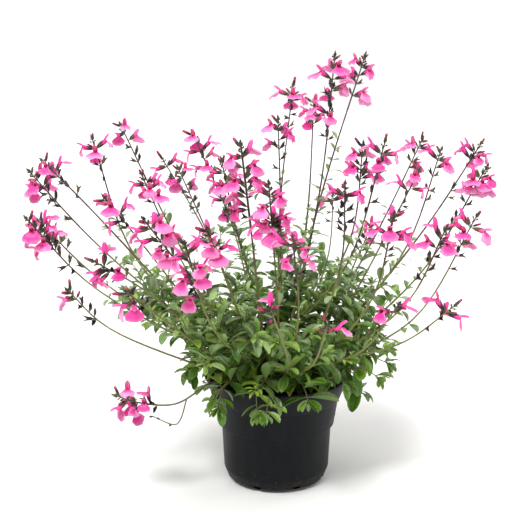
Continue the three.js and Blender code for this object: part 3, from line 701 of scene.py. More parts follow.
@dataclass(frozen=True)
class LeafPlan:
    """Sizes of leaves, and where they sit on stems."""

    low_size: Span = (30.0, 12.0)
    low_height: float = 150.0
    top_size: Span = (15.0, 6.0)
    top_height: float = 370.0
    rise: Span = (10.0, 40.0)
    turn: float = 0.3
    share: Span = (0.8, 1.1)
    between: float = 0.75
    spacing: float = 15.0
    keep: int = 5
    start: float = 26.0
    leader_start: float = 46.0
    leafy: float = 0.56
    counts: tuple[int, ...] = (4, 3, 2)
    # Which stems bear a side shoot in the source, by the rest of their number, and where its leaves sit
    shoot_stems: tuple[int, int] = (0, 2)
    shoot_shares: Span = (0.58, 0.94)
    ball_rows: tuple = ((0.2, 0.6), (0.38, 0.95), (0.6, 0.95), (0.82, 0.65))
    ball_height: float = 0.03
    tip_ball: float = 0.5

    def size(self, height: float, share: float) -> Span:
        """The length and width of a leaf at a height, at a share of full size."""
        t = min(1.0, max(0.0, (height - self.low_height) / (self.top_height - self.low_height)))
        return tuple(mix(low, top, t) * share for low, top in zip(self.low_size, self.top_size))

    def rows(self, length: float, width: float, girth: float = 1.0) -> tuple:
        """Lay out the balls that stand for a leaf.

        Args:
            length: its length.
            width: its width.
            girth: the share of the width that they keep.

        Returns:
            Rows of forward, side, up and radius.
        """
        height = length * self.ball_height
        rows = [(length * x, 0, height, girth * width * r / 2) for x, r in self.ball_rows]
        return (*rows, (length, 0, height, self.tip_ball))

    def levels(self, stem: StemPlan) -> tuple[float, int, int]:
        """Where leaves start on a stem, how many joints it has, and the first joint of the source."""
        start = self.leader_start if stem.is_leader else self.start
        return start, floor((stem.stem_end * self.leafy - start) / self.spacing), stem.index % self.keep


@dataclass(frozen=True)
class ShootPlan:
    """A kind of leafy side shoot: where it starts, how far it reaches and how it rises."""

    start: Span = (0.2, 0.42)
    offset: float = 14.0
    reach: Span = (48.0, 78.0)
    rise: Span = (0.0, 38.0)
    sideways: float = 1.0
    tries: int = 1
    clearance: float | None = None
    leaf_share: float = 1.0
    radii: Span = (1.3, 0.8)
    arch: float = 0.1
    root: float = 7.0

    def stalk(self, stem: StemPlan, draws: Draws, owner: str) -> Stalk:
        """Draw the path of a side shoot.

        Args:
            stem: the stem that bears it.
            draws: the draws for it.
            owner: the shoot's own name.

        Returns:
            The shoot, from the middle of the stem.
        """
        origin = stem.path.at(mix(*self.start, draws.draw(0, 1)) * stem.stem_end + self.offset)
        outward = atan2(origin[1], origin[0]) + draws.draw(-self.sideways, self.sideways)
        reach = draws.draw(*self.reach)
        rise = radians(draws.draw(*self.rise))
        flat = np.array([cos(outward), sin(outward), 0.0])
        end = origin + flat * (reach * cos(rise)) + UP * (reach * sin(rise))
        middle = mix(origin, end, 0.5) + UP * (reach * self.arch)
        path = Path([origin, middle, end], draws.draw(0, 3), 4)
        return Stalk(owner, path, self.radii, path.length)


@dataclass(frozen=True)
class BloomExtras:
    """What grows on a raceme beside the flowers of the part's source."""

    open_clearance: float = -1.8
    open_shift: float = 0.3
    # How many levels lower each flower that is added lets them hang, where, and on how long a raceme
    open_sag: float = 0.55
    sagging: tuple[str, ...] = ("front_left", "front", "centre")
    sag_from: float = 80.0
    spent_chance: Span = (0.18, 0.5)
    spent_shift: float = 4.5
    spent_tilt: Span = (-0.45, 0.25)
    spent_clearance: float = 0.2
    spent_end: float = 8.0
    # An open flower near the edge of the box shrinks in steps
    least_size: float = 0.6
    size_step: float = 0.05
    # Pairs of closed buds below the tip: distance from the tip and size
    tip_pairs: tuple = ((11.0, 0.45), (15.0, 0.55), (19.5, 0.68), (24.0, 0.8))
    tip_tint: float = 0.6
    # The bare curl that hangs from the trailing stem: where it starts, its points from there, and its calyces
    curl_branch: str = "left_front"
    curl_start: float = 0.8
    curl: tuple = ((-8, -2, -27), (-18, -4, -34), (-45, -7, -21))
    curl_radii: Span = (0.9, 0.55)
    curl_calyces: tuple[float, ...] = (0.6, 0.82, 0.98)
    curl_size: float = 0.7


@dataclass(frozen=True)
class LeafExtras:
    """What grows beside the leaves and shoots of the part's source."""

    girth: float = 0.5
    fullness: float = 1.1
    old_chance: float = 0.014
    pair_sizes: Span = (0.72, 1.42)
    pair_turn: float = 0.4
    pair_rise: Span = (0.0, 0.8)
    pair_clearance: float = 0.1
    pair_spacing: float = 13.5
    # Small young leaves in an axil
    axil_chance: float = 0.42
    axil_sizes: Span = (7.0, 13.0)
    axil_turn: float = 0.7
    axil_rise: Span = (0.4, 1.1)
    axil_tints: Span = (0.2, 0.48)
    axil_clearance: float = 0.05
    # The tuft that ends a shoot, which is larger on the rim
    tuft_sizes: Span = (7.0, 11.0)
    tuft_step: float = 2.5
    tuft_turn: float = 0.3
    tuft_rise: Span = (0.45, 1.1)
    tuft_tints: Span = (0.24, 0.5)
    rim_tuft: float = 1.7
    young_width: float = 0.4
    tuft_width: float = 0.42
    # Where pairs sit on the shoots of the source, and the bare share of others
    shoot_shares: tuple[float, ...] = (0.3, 0.44, 0.76)
    bare: float = 0.26
    # Leaves grow fewer and smaller up the bare stretch of a stem, which is shorter on lush branches
    gap_chance: float = 0.12
    top_gap: float = 0.8
    top_smaller: float = 0.4
    top_fewer: float = 0.6
    top_margin: float = 12.0
    lush: tuple = (("centre", 0.45), ("right_front", -0.5), ("front", -0.4))
    basal_count: int = 8
    basal: ShootPlan = ShootPlan((0.04, 0.3), 12.0, (40.0, 104.0), (0.0, 72.0), 0.8, 8, 0.2)
    upper: ShootPlan = ShootPlan((0.3, 0.68), 0.0, (24.0, 50.0), (28.0, 82.0), 1.2, 5, 0.2, 0.9, (1.0, 0.6))
    # Runners over the rim: direction in degrees, reach and height of their points, and how they stray
    rim_turns: tuple[float, ...] = (-130, -106, -94, -73, -47, -18, 16, 58, 101, 140, 171)
    rim_points: tuple = ((40, 134), (74, 160), (101, 164), (113, 154), (118, 138))
    rim_spread: Spot = (12.0, 10.0, 26.0)
    rim_drop: float = 8.0
    runner_radii: Span = (1.2, 0.7)
    # The yellowed leaf on the right: its place before the tip, direction, length, width, look and tint
    old_leaf: tuple = (2.0, (0.4, 0.0, -0.9), (17.0, 5.0, 1.3, 0.78))
    # Low sprays outside the rim, by branch
    sprays: tuple = (
        ("right_front", ((30, -22, 134), (76, -42, 164), (112, -56, 172), (134, -64, 162))),
        ("right", ((36, 2, 134), (84, -8, 168), (124, -14, 176), (152, -18, 168))),
        ("front_left", ((-20, -38, 134), (-46, -66, 160), (-70, -90, 160), (-82, -104, 142))),
        ("left", ((-38, -6, 134), (-78, -20, 162), (-104, -30, 170), (-118, -34, 160))),
        ("left_rear", ((-34, 16, 134), (-76, 36, 164), (-100, 54, 172), (-112, 62, 162))),
        ("back", ((10, 36, 134), (22, 80, 164), (32, 110, 172), (36, 130, 162))),
        ("right_back", ((28, 24, 134), (72, 58, 166), (102, 82, 174), (120, 96, 164))),
    )


@dataclass
class Grower:
    """Grows things on one stalk, where the plant has room for them."""

    room: Room
    growth: Growth
    stalk: Stalk
    draws: Draws

    def seat(
        self, taken: set, first_face: int, sprout: Sprout, clearance: float | None = None
    ) -> Place | None:
        """Try the faces of a joint, and turns from each, until a sprout is clear of the rest.

        Args:
            taken: the faces of the joint in use.
            first_face: the face to try first.
            sprout: what is to grow.
            clearance: the space kept, where it isn't the room's own.

        Returns:
            The place, or None without room.
        """
        for step in FACE_TRIES:
            face = (first_face + step) % 4
            for swing in () if face in taken else SWINGS:
                turn = sprout.turn + radians(swing)
                place = self.stalk.place(sprout.distance, face, turn, sprout.rise)
                balls = place.balls(sprout.rows)
                if self.room.fits(balls, self.stalk.owner, clearance):
                    self.claim(balls)
                    taken.add(face)
                    return place
        return None

    def claim(self, balls: Balls) -> None:
        """Take room for what grows on the stalk."""
        self.room.claim(balls, f"{self.stalk.owner} piece")


@dataclass
class RacemeGrower(Grower):
    """Grows the flowers, calyces and buds of one raceme."""

    stem: StemPlan
    extras: BloomExtras
    first_face: int = 0

    def grow(self) -> None:
        """Seat the flowers from the tip down, as the part's source does."""
        opened, closed, spent = self.stem.flowers
        self.first_face = floor(self.draws.draw(0, 4))
        levels: list[list[tuple[Stage, Sprout]]] = []
        for stage, count in ((Stage.BUD, closed), (Stage.OPEN, opened), (Stage.SPENT, spent)):
            for i in range(count):
                if i % 2 == 0:
                    levels.append([])
                sprout = stage.sprout(self.stalk.level(len(levels) - 1), self.draws)
                levels[-1].append((stage, sprout))
        looks = Draws(Seed.LOOKS + self.stem.index)
        for number, level in enumerate(levels):
            taken: set = set()
            for i, (stage, sprout) in enumerate(level):
                place = self.seat(taken, self.first_face + number + 2 * i, sprout)
                self.add_flower(stage, place, looks)

    def add_flower(self, stage: Stage, place: Place | None, looks: Draws) -> None:
        """Add a flower, if it found a place.

        Args:
            stage: its stage.
            place: where it grows.
            looks: the draws for its look.
        """
        plan = stage.value
        shape = plan.shapes[floor(looks.draw(0, len(plan.shapes)))]
        size = looks.draw(*plan.sizes)
        tint = looks.draw(0, 1)
        if place is not None:
            while size > self.extras.least_size and not self.room.in_box(place.balls(BLOOM_OUTLINE * size)):
                size -= self.extras.size_step
            self.growth.add_bloom(place, shape, size, tint)

    def fill(self) -> None:
        """Add more open flowers near the tip, spent calyces below, the axis and the tip's buds."""
        self.draws = Draws(Seed.RACEME + self.stem.index)
        opened, closed, _ = self.stem.flowers
        first = (closed + 1) // 2
        last = first + (opened + 1) // 2
        self.add_open(first, last)
        self.add_spent(last + 1)
        self.add_tip()

    def add_open(self, first: int, last: int) -> None:
        """Add open flowers.

        Args:
            first: the topmost level of the source's open flowers.
            last: the level below them.
        """
        stem, extras = self.stem, self.extras
        sag = min(stem.more_open * extras.open_sag, (stem.raceme - extras.sag_from) / self.stalk.step)
        sag = sag if stem.branch in extras.sagging else 0.0
        for i in range(stem.more_open):
            level = mix(first + sag / 2, last + sag, self.draws.draw(0, 1)) + extras.open_shift
            sprout = Stage.OPEN.sprout(self.stalk.level(level), self.draws)
            place = self.seat(set(), self.first_face + i, sprout, extras.open_clearance)
            self.add_flower(Stage.OPEN, place, self.draws)

    def add_spent(self, number: int) -> None:
        """Add spent calyces down to the leafy stem.

        Args:
            number: the level to start from.
        """
        extras, draws = self.extras, self.draws
        chance = draws.draw(*extras.spent_chance)
        while self.stalk.level(number) > self.stem.stem_end + extras.spent_end:
            for i in range(4):
                shift = draws.draw(-extras.spent_shift, extras.spent_shift)
                sprout = Stage.SPENT.sprout(self.stalk.level(number) + shift, draws)
                sprout.rise += draws.draw(*extras.spent_tilt)
                if draws.draw(0, 1) < chance:
                    place = self.seat(set(), self.first_face + number + i, sprout, extras.spent_clearance)
                    self.add_flower(Stage.SPENT, place, draws)
            number += 1

    def add_tip(self) -> None:
        """Add the axis, the cluster at its tip and the pairs of buds below."""
        axis, path, draws = self.stalk, self.stalk.path, self.draws
        bud_start = path.length - axis.bud_length
        self.growth.add_stem(axis, axis.start - RULES.joint, bud_start + 3, most=RULES.top_radius)
        forward, edges = path.edges_at(path.length - 1)
        tip = Place(path.at(bud_start - 1), forward, edges[0])
        self.growth.add_bloom(tip, Flower.TIP, 1.0, draws.draw(self.extras.tip_tint, 1))
        for number, (back, size) in enumerate(self.extras.tip_pairs):
            shape = Flower.YOUNG if number < 3 else Flower.BUD
            for face in (0, 2):
                sprout = Stage.BUD.sprout(path.length - back, draws)
                place = axis.place(sprout.distance, self.first_face + number + face, sprout.turn, sprout.rise)
                self.growth.add_bloom(place, shape, size, draws.draw(0.8 - 0.2 * number, 1))


@dataclass
class LeafGrower(Grower):
    """Grows the leaves of one stem, shoot or runner."""

    plan: LeafPlan
    extras: LeafExtras

    def seat_joint(self, distance: float, first_face: int, count: int) -> None:
        """Seat the leaves of a joint of the source: an opposite pair, and smaller ones between them.

        Args:
            distance: where the joint is.
            first_face: the face of the first leaf.
            count: how many leaves.
        """
        taken: set = set()
        plan = self.plan
        for i, quarter in enumerate((0, 2, 1, 3)[:count]):
            rise = radians(self.draws.draw(*plan.rise))
            turn = self.draws.draw(-plan.turn, plan.turn)
            share = self.draws.draw(*plan.share) * (1 if i < 2 else plan.between)
            length, width = plan.size(self.stalk.path.at(distance)[2], share)
            sprout = Sprout(distance, turn, rise, plan.rows(length, width))
            place = self.seat(taken, first_face + quarter, sprout)
            self.add_leaf(place, length, width, share * 97.3)

    def add_leaf(
        self, place: Place | None, length: float, width: float, look: float, tint: float | None = None
    ) -> None:
        """Add a leaf, if it found a place.

        Args:
            place: where it grows.
            length: its length.
            width: its width.
            look: any number, which decides its shape and tint.
            tint: its tint, where it is given.
        """
        if place is None:
            return
        if tint is None:
            shade = (look * 0.618034) % 1.0
            old = (look * 7.31) % 1.0 < self.extras.old_chance
            tint = 0.68 + 0.3 * shade if old else 0.54 * shade**1.5
        size = (length, width * self.extras.fullness, length)
        self.growth.sprigs.append(Sprig(place, floor(look * 3.7) % 6, size, tint))

    def add_pair(self, distance: float, level: int, share: float = 1.0) -> None:
        """Add an opposite pair of leaves.

        Args:
            distance: where the joint is.
            level: the joint's number, which turns the pair.
            share: their share of full size.
        """
        extras, draws = self.extras, self.draws
        taken: set = set()
        for quarter in (0, 2):
            size = draws.draw(*extras.pair_sizes) * share
            length, width = self.plan.size(self.stalk.path.at(distance)[2], size)
            turn = draws.draw(-extras.pair_turn, extras.pair_turn)
            rise = draws.draw(*extras.pair_rise)
            look = draws.draw(0, 1000)
            sprout = Sprout(distance, turn, rise, self.plan.rows(length, width, extras.girth))
            place = self.seat(taken, level + quarter, sprout, extras.pair_clearance)
            self.add_leaf(place, length, width, look)

    def add_axil(self, distance: float, level: int) -> None:
        """Add a few small young leaves in the axil of a leaf.

        Args:
            distance: where the joint is.
            level: the joint's number.
        """
        extras, draws = self.extras, self.draws
        for i in range(3):
            length = draws.draw(*extras.axil_sizes)
            width = length * extras.young_width
            turn = draws.draw(-extras.axil_turn, extras.axil_turn)
            sprout = Sprout(distance, turn, draws.draw(*extras.axil_rise), self.plan.rows(length, width, 0.5))
            tint = draws.draw(*extras.axil_tints)
            face = level + 1 + 2 * (i % 2)
            place = self.seat({(level + i) % 4}, face, sprout, extras.axil_clearance)
            self.add_leaf(place, length, width, 2.3 * i + tint * 50, tint)

    def add_tuft(self, scale: float = 1.0) -> None:
        """End a shoot in a tuft of young leaves.

        Args:
            scale: their size beside that of other tufts.
        """
        extras, draws = self.extras, self.draws
        for i in range(6):
            back = (i // 2) * extras.tuft_step
            length = (draws.draw(*extras.tuft_sizes) + back) * scale
            swing = draws.draw(-extras.tuft_turn, extras.tuft_turn)
            distance = self.stalk.path.length - 0.5 - back
            place = self.stalk.place(distance, i * 2 + i // 2, swing, draws.draw(*extras.tuft_rise))
            tint = draws.draw(*extras.tuft_tints) / scale
            self.add_leaf(place, length, length * extras.tuft_width, 3.3 * i + tint * 60, tint)
            self.claim(place.balls(self.plan.rows(length, length * extras.young_width, 0.5)))

    def dress(self, share: float, tuft: float = 1.0) -> None:
        """Give a shoot its pairs of leaves and its tuft.

        Args:
            share: the leaves' share of full size.
            tuft: the size of its tuft beside that of other tufts.
        """
        distance = self.stalk.path.length * self.extras.bare
        level = floor(self.draws.draw(0, 2))
        while distance < self.stalk.path.length - 4:
            self.add_pair(distance, level, share)
            distance += self.extras.pair_spacing
            level += 1
        self.add_tuft(tuft)


class PlantPlan:
    """Where everything on the plant grows."""

    def __init__(self) -> None:
        """Plan what the part's source holds, in its order, and then all that is finer."""
        self.leaves = LeafPlan()
        self.leaf_extras = LeafExtras()
        self.bloom_extras = BloomExtras()
        self.room = Room()
        self.stems = self.plan_stems()
        self.flowers = [Growth() for _ in self.stems]
        self.foliage = {name: Growth() for name in BRANCHES}
        self.shoots: list[tuple[StemPlan, Stalk]] = []
        racemes = [self.start_raceme(stem) for stem in self.stems]
        for raceme in racemes:
            raceme.grow()
        for name in BRANCHES:
            self.grow_branch(name)
        for raceme in racemes:
            raceme.fill()
        self.fill_foliage()

    def plan_stems(self) -> list[StemPlan]:
        """Plan every flowering stem.

        Returns:
            The stems, in the order of the branches.
        """
        stems: list[StemPlan] = []
        for branch, (x, y) in BRANCHES.items():
            leader = None
            for number, (points, raceme, flowers, more_open) in enumerate(STEMS[branch]):
                index = len(stems)
                draws = Draws(Seed.STEM + index)
                fork = RULES.fork + RULES.fork_step * (number - 1)
                start = leader.path.at(fork) if leader else (x, y, RULES.foot)
                below = [] if leader else [(x, y, RULES.buried)]
                path = Path([start, *points], draws.draw(0, 3), 8, below)
                radii = (RULES.side_radius if leader else RULES.leader_radius, RULES.top_radius)
                own = (index, branch, not leader, raceme, flowers, more_open, draws)
                stem = StemPlan(f"stem_{index}", path, radii, path.length - raceme, *own)
                leader = leader or stem
                stems.append(stem)
        return stems

    def start_raceme(self, stem: StemPlan) -> RacemeGrower:
        """Take room for a stem and its raceme.

        Args:
            stem: the stem.

        Returns:
            What grows the raceme.
        """
        own = (stem.path, RULES.axis_radii, stem.raceme, stem.stem_end)
        axis = RacemeAxis(f"raceme_{stem.index}", *own)
        self.room.claim(stem.balls(0, stem.stem_end), stem.owner)
        self.room.claim(axis.balls(stem.stem_end + RULES.joint_clear, stem.path.length), axis.owner)
        growth = self.flowers[stem.index]
        return RacemeGrower(self.room, growth, axis, stem.draws, stem, self.bloom_extras)

    def leaves_on(self, branch: str, stalk: Stalk, draws: Draws) -> LeafGrower:
        """What grows leaves on a stalk of a branch."""
        return LeafGrower(self.room, self.foliage[branch], stalk, draws, self.leaves, self.leaf_extras)

    def stems_of(self, branch: str) -> list[StemPlan]:
        """The stems of a branch."""
        return [stem for stem in self.stems if stem.branch == branch]

    def grow_branch(self, name: str) -> None:
        """Grow a branch's side shoots and leaves as the part's source does.

        Args:
            name: the branch's name.
        """
        plan = self.leaves
        for stem in self.stems_of(name):
            if stem.index % plan.keep in plan.shoot_stems:
                grower = self.add_shoot(ShootPlan(), stem, stem.draws, f"shoot_{stem.index}")
                if grower:
                    self.shoots.append((stem, grower.stalk))
                    for i, share in enumerate(plan.shoot_shares):
                        grower.seat_joint(grower.stalk.path.length * share, i, 2)
        for stem in self.stems_of(name):
            grower = self.leaves_on(name, stem, stem.draws)
            start, levels, first = plan.levels(stem)
            for made, level in enumerate(range(first, levels, plan.keep)):
                count = plan.counts[min(made, len(plan.counts) - 1)]
                grower.seat_joint(start + plan.spacing * level, level, count)
            grower.growth.add_stem(stem, 0, stem.stem_end - RULES.joint)

    def add_shoot(self, kind: ShootPlan, stem: StemPlan, draws: Draws, owner: str) -> LeafGrower | None:
        """Add a side shoot where there is room for it.

        Args:
            kind: the kind of shoot.
            stem: the stem that bears it.
            draws: the draws for it.
            owner: its own name.

        Returns:
            What grows its leaves, or None without room.
        """
        for _ in range(kind.tries):
            shoot = kind.stalk(stem, draws, owner)
            balls = shoot.balls(kind.root, shoot.path.length)
            if self.room.fits(balls, stem.owner, kind.clearance):
                self.room.claim(balls, owner)
                self.foliage[stem.branch].add_stem(shoot, 0, shoot.path.length)
                return self.leaves_on(stem.branch, shoot, draws)
        return None

    def fill_foliage(self) -> None:
        """Add the leaves and shoots between those of the source."""
        extras = self.leaf_extras
        self.room.keeps_mound = True
        for stem, shoot in self.shoots:
            grower = self.leaves_on(stem.branch, shoot, Draws(Seed.SHOOT + stem.index))
            for share in extras.shoot_shares:
                grower.add_pair(shoot.path.length * share, round(share * 9))
            grower.add_tuft()
        self.add_runners()
        for stem in self.stems:
            self.fill_stem(stem)
        for stem in self.stems:
            if self.lush(stem) >= 0:
                self.fill_with(extras.upper, stem, f"upper_{stem.index}", Seed.UPPER)
        for name in BRANCHES:
            own = self.stems_of(name)
            for number in range(extras.basal_count):
                stem = own[number % len(own)]
                owner = f"basal_{stem.index}_{number}"
                self.fill_with(extras.basal, stem, owner, Seed.BASAL + BASAL_STEP * number)
        self.room.keeps_mound = False
        self.add_curl()

    def lush(self, stem: StemPlan) -> float:
        """How much further up the leaves go on a stem, as a share of its bare stretch."""
        return dict(self.leaf_extras.lush).get(stem.branch, 0.0)

    def fill_with(self, kind: ShootPlan, stem: StemPlan, owner: str, seed: int) -> None:
        """Add a dressed side shoot to a stem, where there is room for it.

        Args:
            kind: the kind of shoot.
            stem: the stem that bears it.
            owner: its own name.
            seed: the seed of its draws, to which the stem's number is added.
        """
        grower = self.add_shoot(kind, stem, Draws(seed + stem.index), owner)
        if grower:
            grower.dress(kind.leaf_share)

    def fill_stem(self, stem: StemPlan) -> None:
        """Add pairs of leaves at a stem's other joints, smaller and fewer towards its raceme.

        Args:
            stem: the stem.
        """
        extras, plan = self.leaf_extras, self.leaves
        draws = Draws(Seed.STEM_LEAVES + stem.index)
        grower = self.leaves_on(stem.branch, stem, draws)
        start, levels, first = plan.levels(stem)
        last = floor((stem.stem_end - extras.top_margin - start) / plan.spacing)
        for level in range(last + 1):
            distance = start + plan.spacing * level
            beyond = max(0.0, (level - levels) / max(1, last - levels) - self.lush(stem))
            is_made = level < levels and level % plan.keep == first
            if not is_made and draws.draw(0, 1) > beyond * extras.top_gap + extras.gap_chance:
                grower.add_pair(distance, level, 1 - extras.top_smaller * beyond)
            if draws.draw(0, 1) < extras.axil_chance * (1 - extras.top_fewer * beyond):
                grower.add_axil(distance + 1.5, level)

    def add_runners(self) -> None:
        """Add the low shoots that lean over the rim, and those that spread beside it."""
        extras = self.leaf_extras
        draws = Draws(Seed.RIM)
        rows = [(self.nearest_branch(turn), self.rim_path(turn, draws)) for turn in extras.rim_turns]
        for number, (branch, controls) in enumerate([*rows, *extras.sprays]):
            draws = Draws(Seed.RUNNER + number)
            path = Path(list(controls), draws.draw(0, 3), 5)
            runner = Stalk(f"runner_{number}", path, extras.runner_radii, path.length)
            grower = self.leaves_on(branch, runner, draws)
            self.room.claim(runner.balls(0, path.length), runner.owner)
            grower.growth.add_stem(runner, 0, path.length)
            grower.dress(1.0, extras.rim_tuft)
            if branch == "right":
                back, direction, looks = extras.old_leaf
                grower.add_leaf(Place(path.at(path.length - back), np.array(direction)), *looks)

    def nearest_branch(self, turn: float) -> str:
        """The branch whose foot lies nearest to a direction in degrees."""
        x, y = cos(radians(turn)), sin(radians(turn))
        return max(BRANCHES, key=lambda name: BRANCHES[name][0] * x + BRANCHES[name][1] * y)

    def rim_path(self, turn: float, draws: Draws) -> list[Array]:
        """Lay a runner over the rim.

        Args:
            turn: its direction, in degrees.
            draws: the draws for it.

        Returns:
            Its points, which leave the straight line more and more.
        """
        extras = self.leaf_extras
        out = np.array([cos(radians(turn)), sin(radians(turn)), 0.0])
        across = np.cross(UP, out)
        side, forward, up = (draws.draw(-most, most) for most in extras.rim_spread)
        points = []
        for number, (reach, height) in enumerate(extras.rim_points):
            share = (number / 4) ** 2
            rise = height + max(-extras.rim_drop, up) * share
            points.append(out * (reach + abs(forward) * share) + across * side * share + UP * rise)
        return points

    def add_curl(self) -> None:
        """Add the bare curl with a few calyces that hangs from the trailing stem."""
        extras = self.bloom_extras
        stem = self.stems_of(extras.curl_branch)[-1]
        growth = self.flowers[stem.index]
        origin = stem.path.at(stem.stem_end * extras.curl_start)
        path = Path([origin, *(origin + np.array(step) for step in extras.curl)], 0.4, 6)
        curl = Stalk("curl", path, extras.curl_radii, path.length)
        growth.add_stem(curl, 0, path.length, step=4.0)
        draws = Draws(Seed.CURL)
        for number, share in enumerate(extras.curl_calyces):
            sprout = Stage.BUD.sprout(path.length * share, draws)
            place = curl.place(sprout.distance, 2 * number, sprout.turn, sprout.rise)
            growth.add_bloom(place, Flower.YOUNG, extras.curl_size, draws.draw(0, 1))


# Nodes: shader maths as Python expressions, and one way to add any node


@dataclass
class Sock:
    """An output socket of a node tree, which takes part in Python expressions."""

    nodes: Nodes
    socket: NodeSocket

    def math(self, operation: str, *values: Sock | float) -> Sock:
        """The result of a Math node on this value and others."""
        return self.nodes.get("ShaderNodeMath", {"operation": operation}, dict(enumerate((self, *values))))

    def __add__(self, other: Sock | float) -> Sock:
        """The sum."""
        return self.math("ADD", other)

    __radd__ = __add__

    def __sub__(self, other: Sock | float) -> Sock:
        """The difference."""
        return self.math("SUBTRACT", other)

    def __rsub__(self, other: Sock | float) -> Sock:
        """The difference the other way round."""
        return self * -1.0 + other

    def __mul__(self, other: Sock | float) -> Sock:
        """The product."""
        return self.math("MULTIPLY", other)

    __rmul__ = __mul__

    def __abs__(self) -> Sock:
        """The value without its sign."""
        return self.math("ABSOLUTE")

    def sine(self) -> Sock:
        """The sine."""
        return self.math("SINE")

    def step(self, low: float, high: float) -> Sock:
        """Rise smoothly from 0 at low to 1 at high, or fall where low is above high.

        Args:
            low: the value that gives 0.
            high: the value that gives 1.

        Returns:
            The share.
        """
        ends = (0.0, 1.0) if low < high else (1.0, 0.0)
        values = {0: self, 1: min(low, high), 2: max(low, high), 3: ends[0], 4: ends[1]}
        return self.nodes.get("ShaderNodeMapRange", {"interpolation_type": "SMOOTHSTEP"}, values)


@dataclass
class Nodes:
    """A node tree, built node by node."""

    tree: bpy.types.NodeTree

    def get(
        self, kind: str, settings: dict | None = None, values: dict | None = None, output: int | str = 0
    ) -> Sock:
        """Add any node, and take one of its outputs."""
        return Sock(self, self.add(kind, settings, values).outputs[output])

    def add(self, kind: str, settings: dict | None = None, values: dict | None = None) -> bpy.types.Node:
        """Add any node.

        Args:
            kind: the node's type.
            settings: its settings, which are set first, and a ramp's stops.
            values: the values or links of its input sockets.

        Returns:
            The node.
        """
        node = self.tree.nodes.new(kind)
        for name, value in (settings or {}).items():
            if name == "stops":
                self.set_stops(node.color_ramp, value)
            else:
                setattr(node, name, value)
        for key, value in (values or {}).items():
            source = value.socket if isinstance(value, Sock) else value
            if isinstance(source, NodeSocket):
                self.tree.links.new(source, node.inputs[key])
            else:
                node.inputs[key].default_value = source
        return node

    def set_stops(self, ramp: bpy.types.ColorRamp, stops: list[tuple[float, str]]) -> None:
        """Set the stops of a ramp.

        Args:
            ramp: the node's ramp.
            stops: places and colours.
        """
        while len(ramp.elements) < len(stops):
            ramp.elements.new(1.0)
        for element, (place, shade) in zip(ramp.elements, stops):
            element.position = place
            element.color = colour(shade)


def colour(code: str) -> tuple[float, float, float, float]:
    """Turn a hex code into linear red, green and blue, and one."""
    values = [int(code[i : i + 2], 16) / 255 for i in (1, 3, 5)]
    return (*(v / 12.92 if v <= 0.04045 else ((v + 0.055) / 1.055) ** 2.4 for v in values), 1.0)


class ShaderTree(Nodes):
    """The shader of one finish."""

    def __init__(self, name: str) -> None:
        """Start a material with a Principled shader.

        Args:
            name: the material's name.
        """
        self.material = bpy.data.materials.new(name)
        self.material.use_nodes = True
        super().__init__(self.material.node_tree)
        self.shader = self.tree.nodes["Principled BSDF"]
        self.place = self.get("ShaderNodeTexCoord", output="Object")

    def noise(self, scale: float, detail: float = 3.0, stretch: tuple = (1.0, 1.0, 1.0)) -> Sock:
        """Noise from 0 to 1, with its bumps in a metre, its fineness and a factor for each axis."""
        source = self.get("ShaderNodeVectorMath", {"operation": "MULTIPLY"}, {0: self.place, 1: stretch})
        return self.get("ShaderNodeTexNoise", None, {"Vector": source, "Scale": scale, "Detail": detail})

    def attribute(self, name: str) -> Sock:
        """The value of one of the mesh's attributes."""
        return self.get("ShaderNodeAttribute", {"attribute_name": name}, output="Fac")

    def parts(self, vector: Sock) -> list[Sock]:
        """The three numbers of a vector."""
        node = self.add("ShaderNodeSeparateXYZ", None, {0: vector})
        return [Sock(self, output) for output in node.outputs]

    def uv(self) -> Sock:
        """The mesh's own UV map."""
        return self.get("ShaderNodeUVMap", {"uv_map": "UVMap"})

    def blend(self, share: Sock | float, low: Sock | str, high: Sock | str) -> Sock:
        """Mix two colours.

        Args:
            share: how much of the second.
            low: the first colour.
            high: the second colour.

        Returns:
            The colour.
        """
        ends = [colour(end) if isinstance(end, str) else end for end in (low, high)]
        values = {0: share, 6: ends[0], 7: ends[1]}
        return self.get("ShaderNodeMix", {"data_type": "RGBA"}, values, 2)

    def ramp(self, share: Sock, stops: list[tuple[float, str]]) -> Sock:
        """A colour from a row of stops."""
        return self.get("ShaderNodeValToRGB", {"stops": stops}, {0: share})

    def bump(self, height: Sock, strength: float, depth: float) -> None:
        """Feed a height into the shader's normal.

        Args:
            height: the height from 0 to 1.
            strength: how much of it shows.
            depth: the depth of a full step in metres.
        """
        values = {"Height": height, "Strength": strength, "Distance": depth}
        node = self.add("ShaderNodeBump", None, values)
        self.tree.links.new(node.outputs[0], self.shader.inputs["Normal"])

    def feed(self, **values: Sock | float | tuple) -> None:
        """Set or link sockets of the shader.

        Args:
            values: a value or link for each, by the socket's name with underscores.
        """
        for name, value in values.items():
            socket = self.shader.inputs[name.replace("_", " ").title().replace("Ior", "IOR")]
            if isinstance(value, Sock):
                self.tree.links.new(value.socket, socket)
            else:
                socket.default_value = value


# Finishes


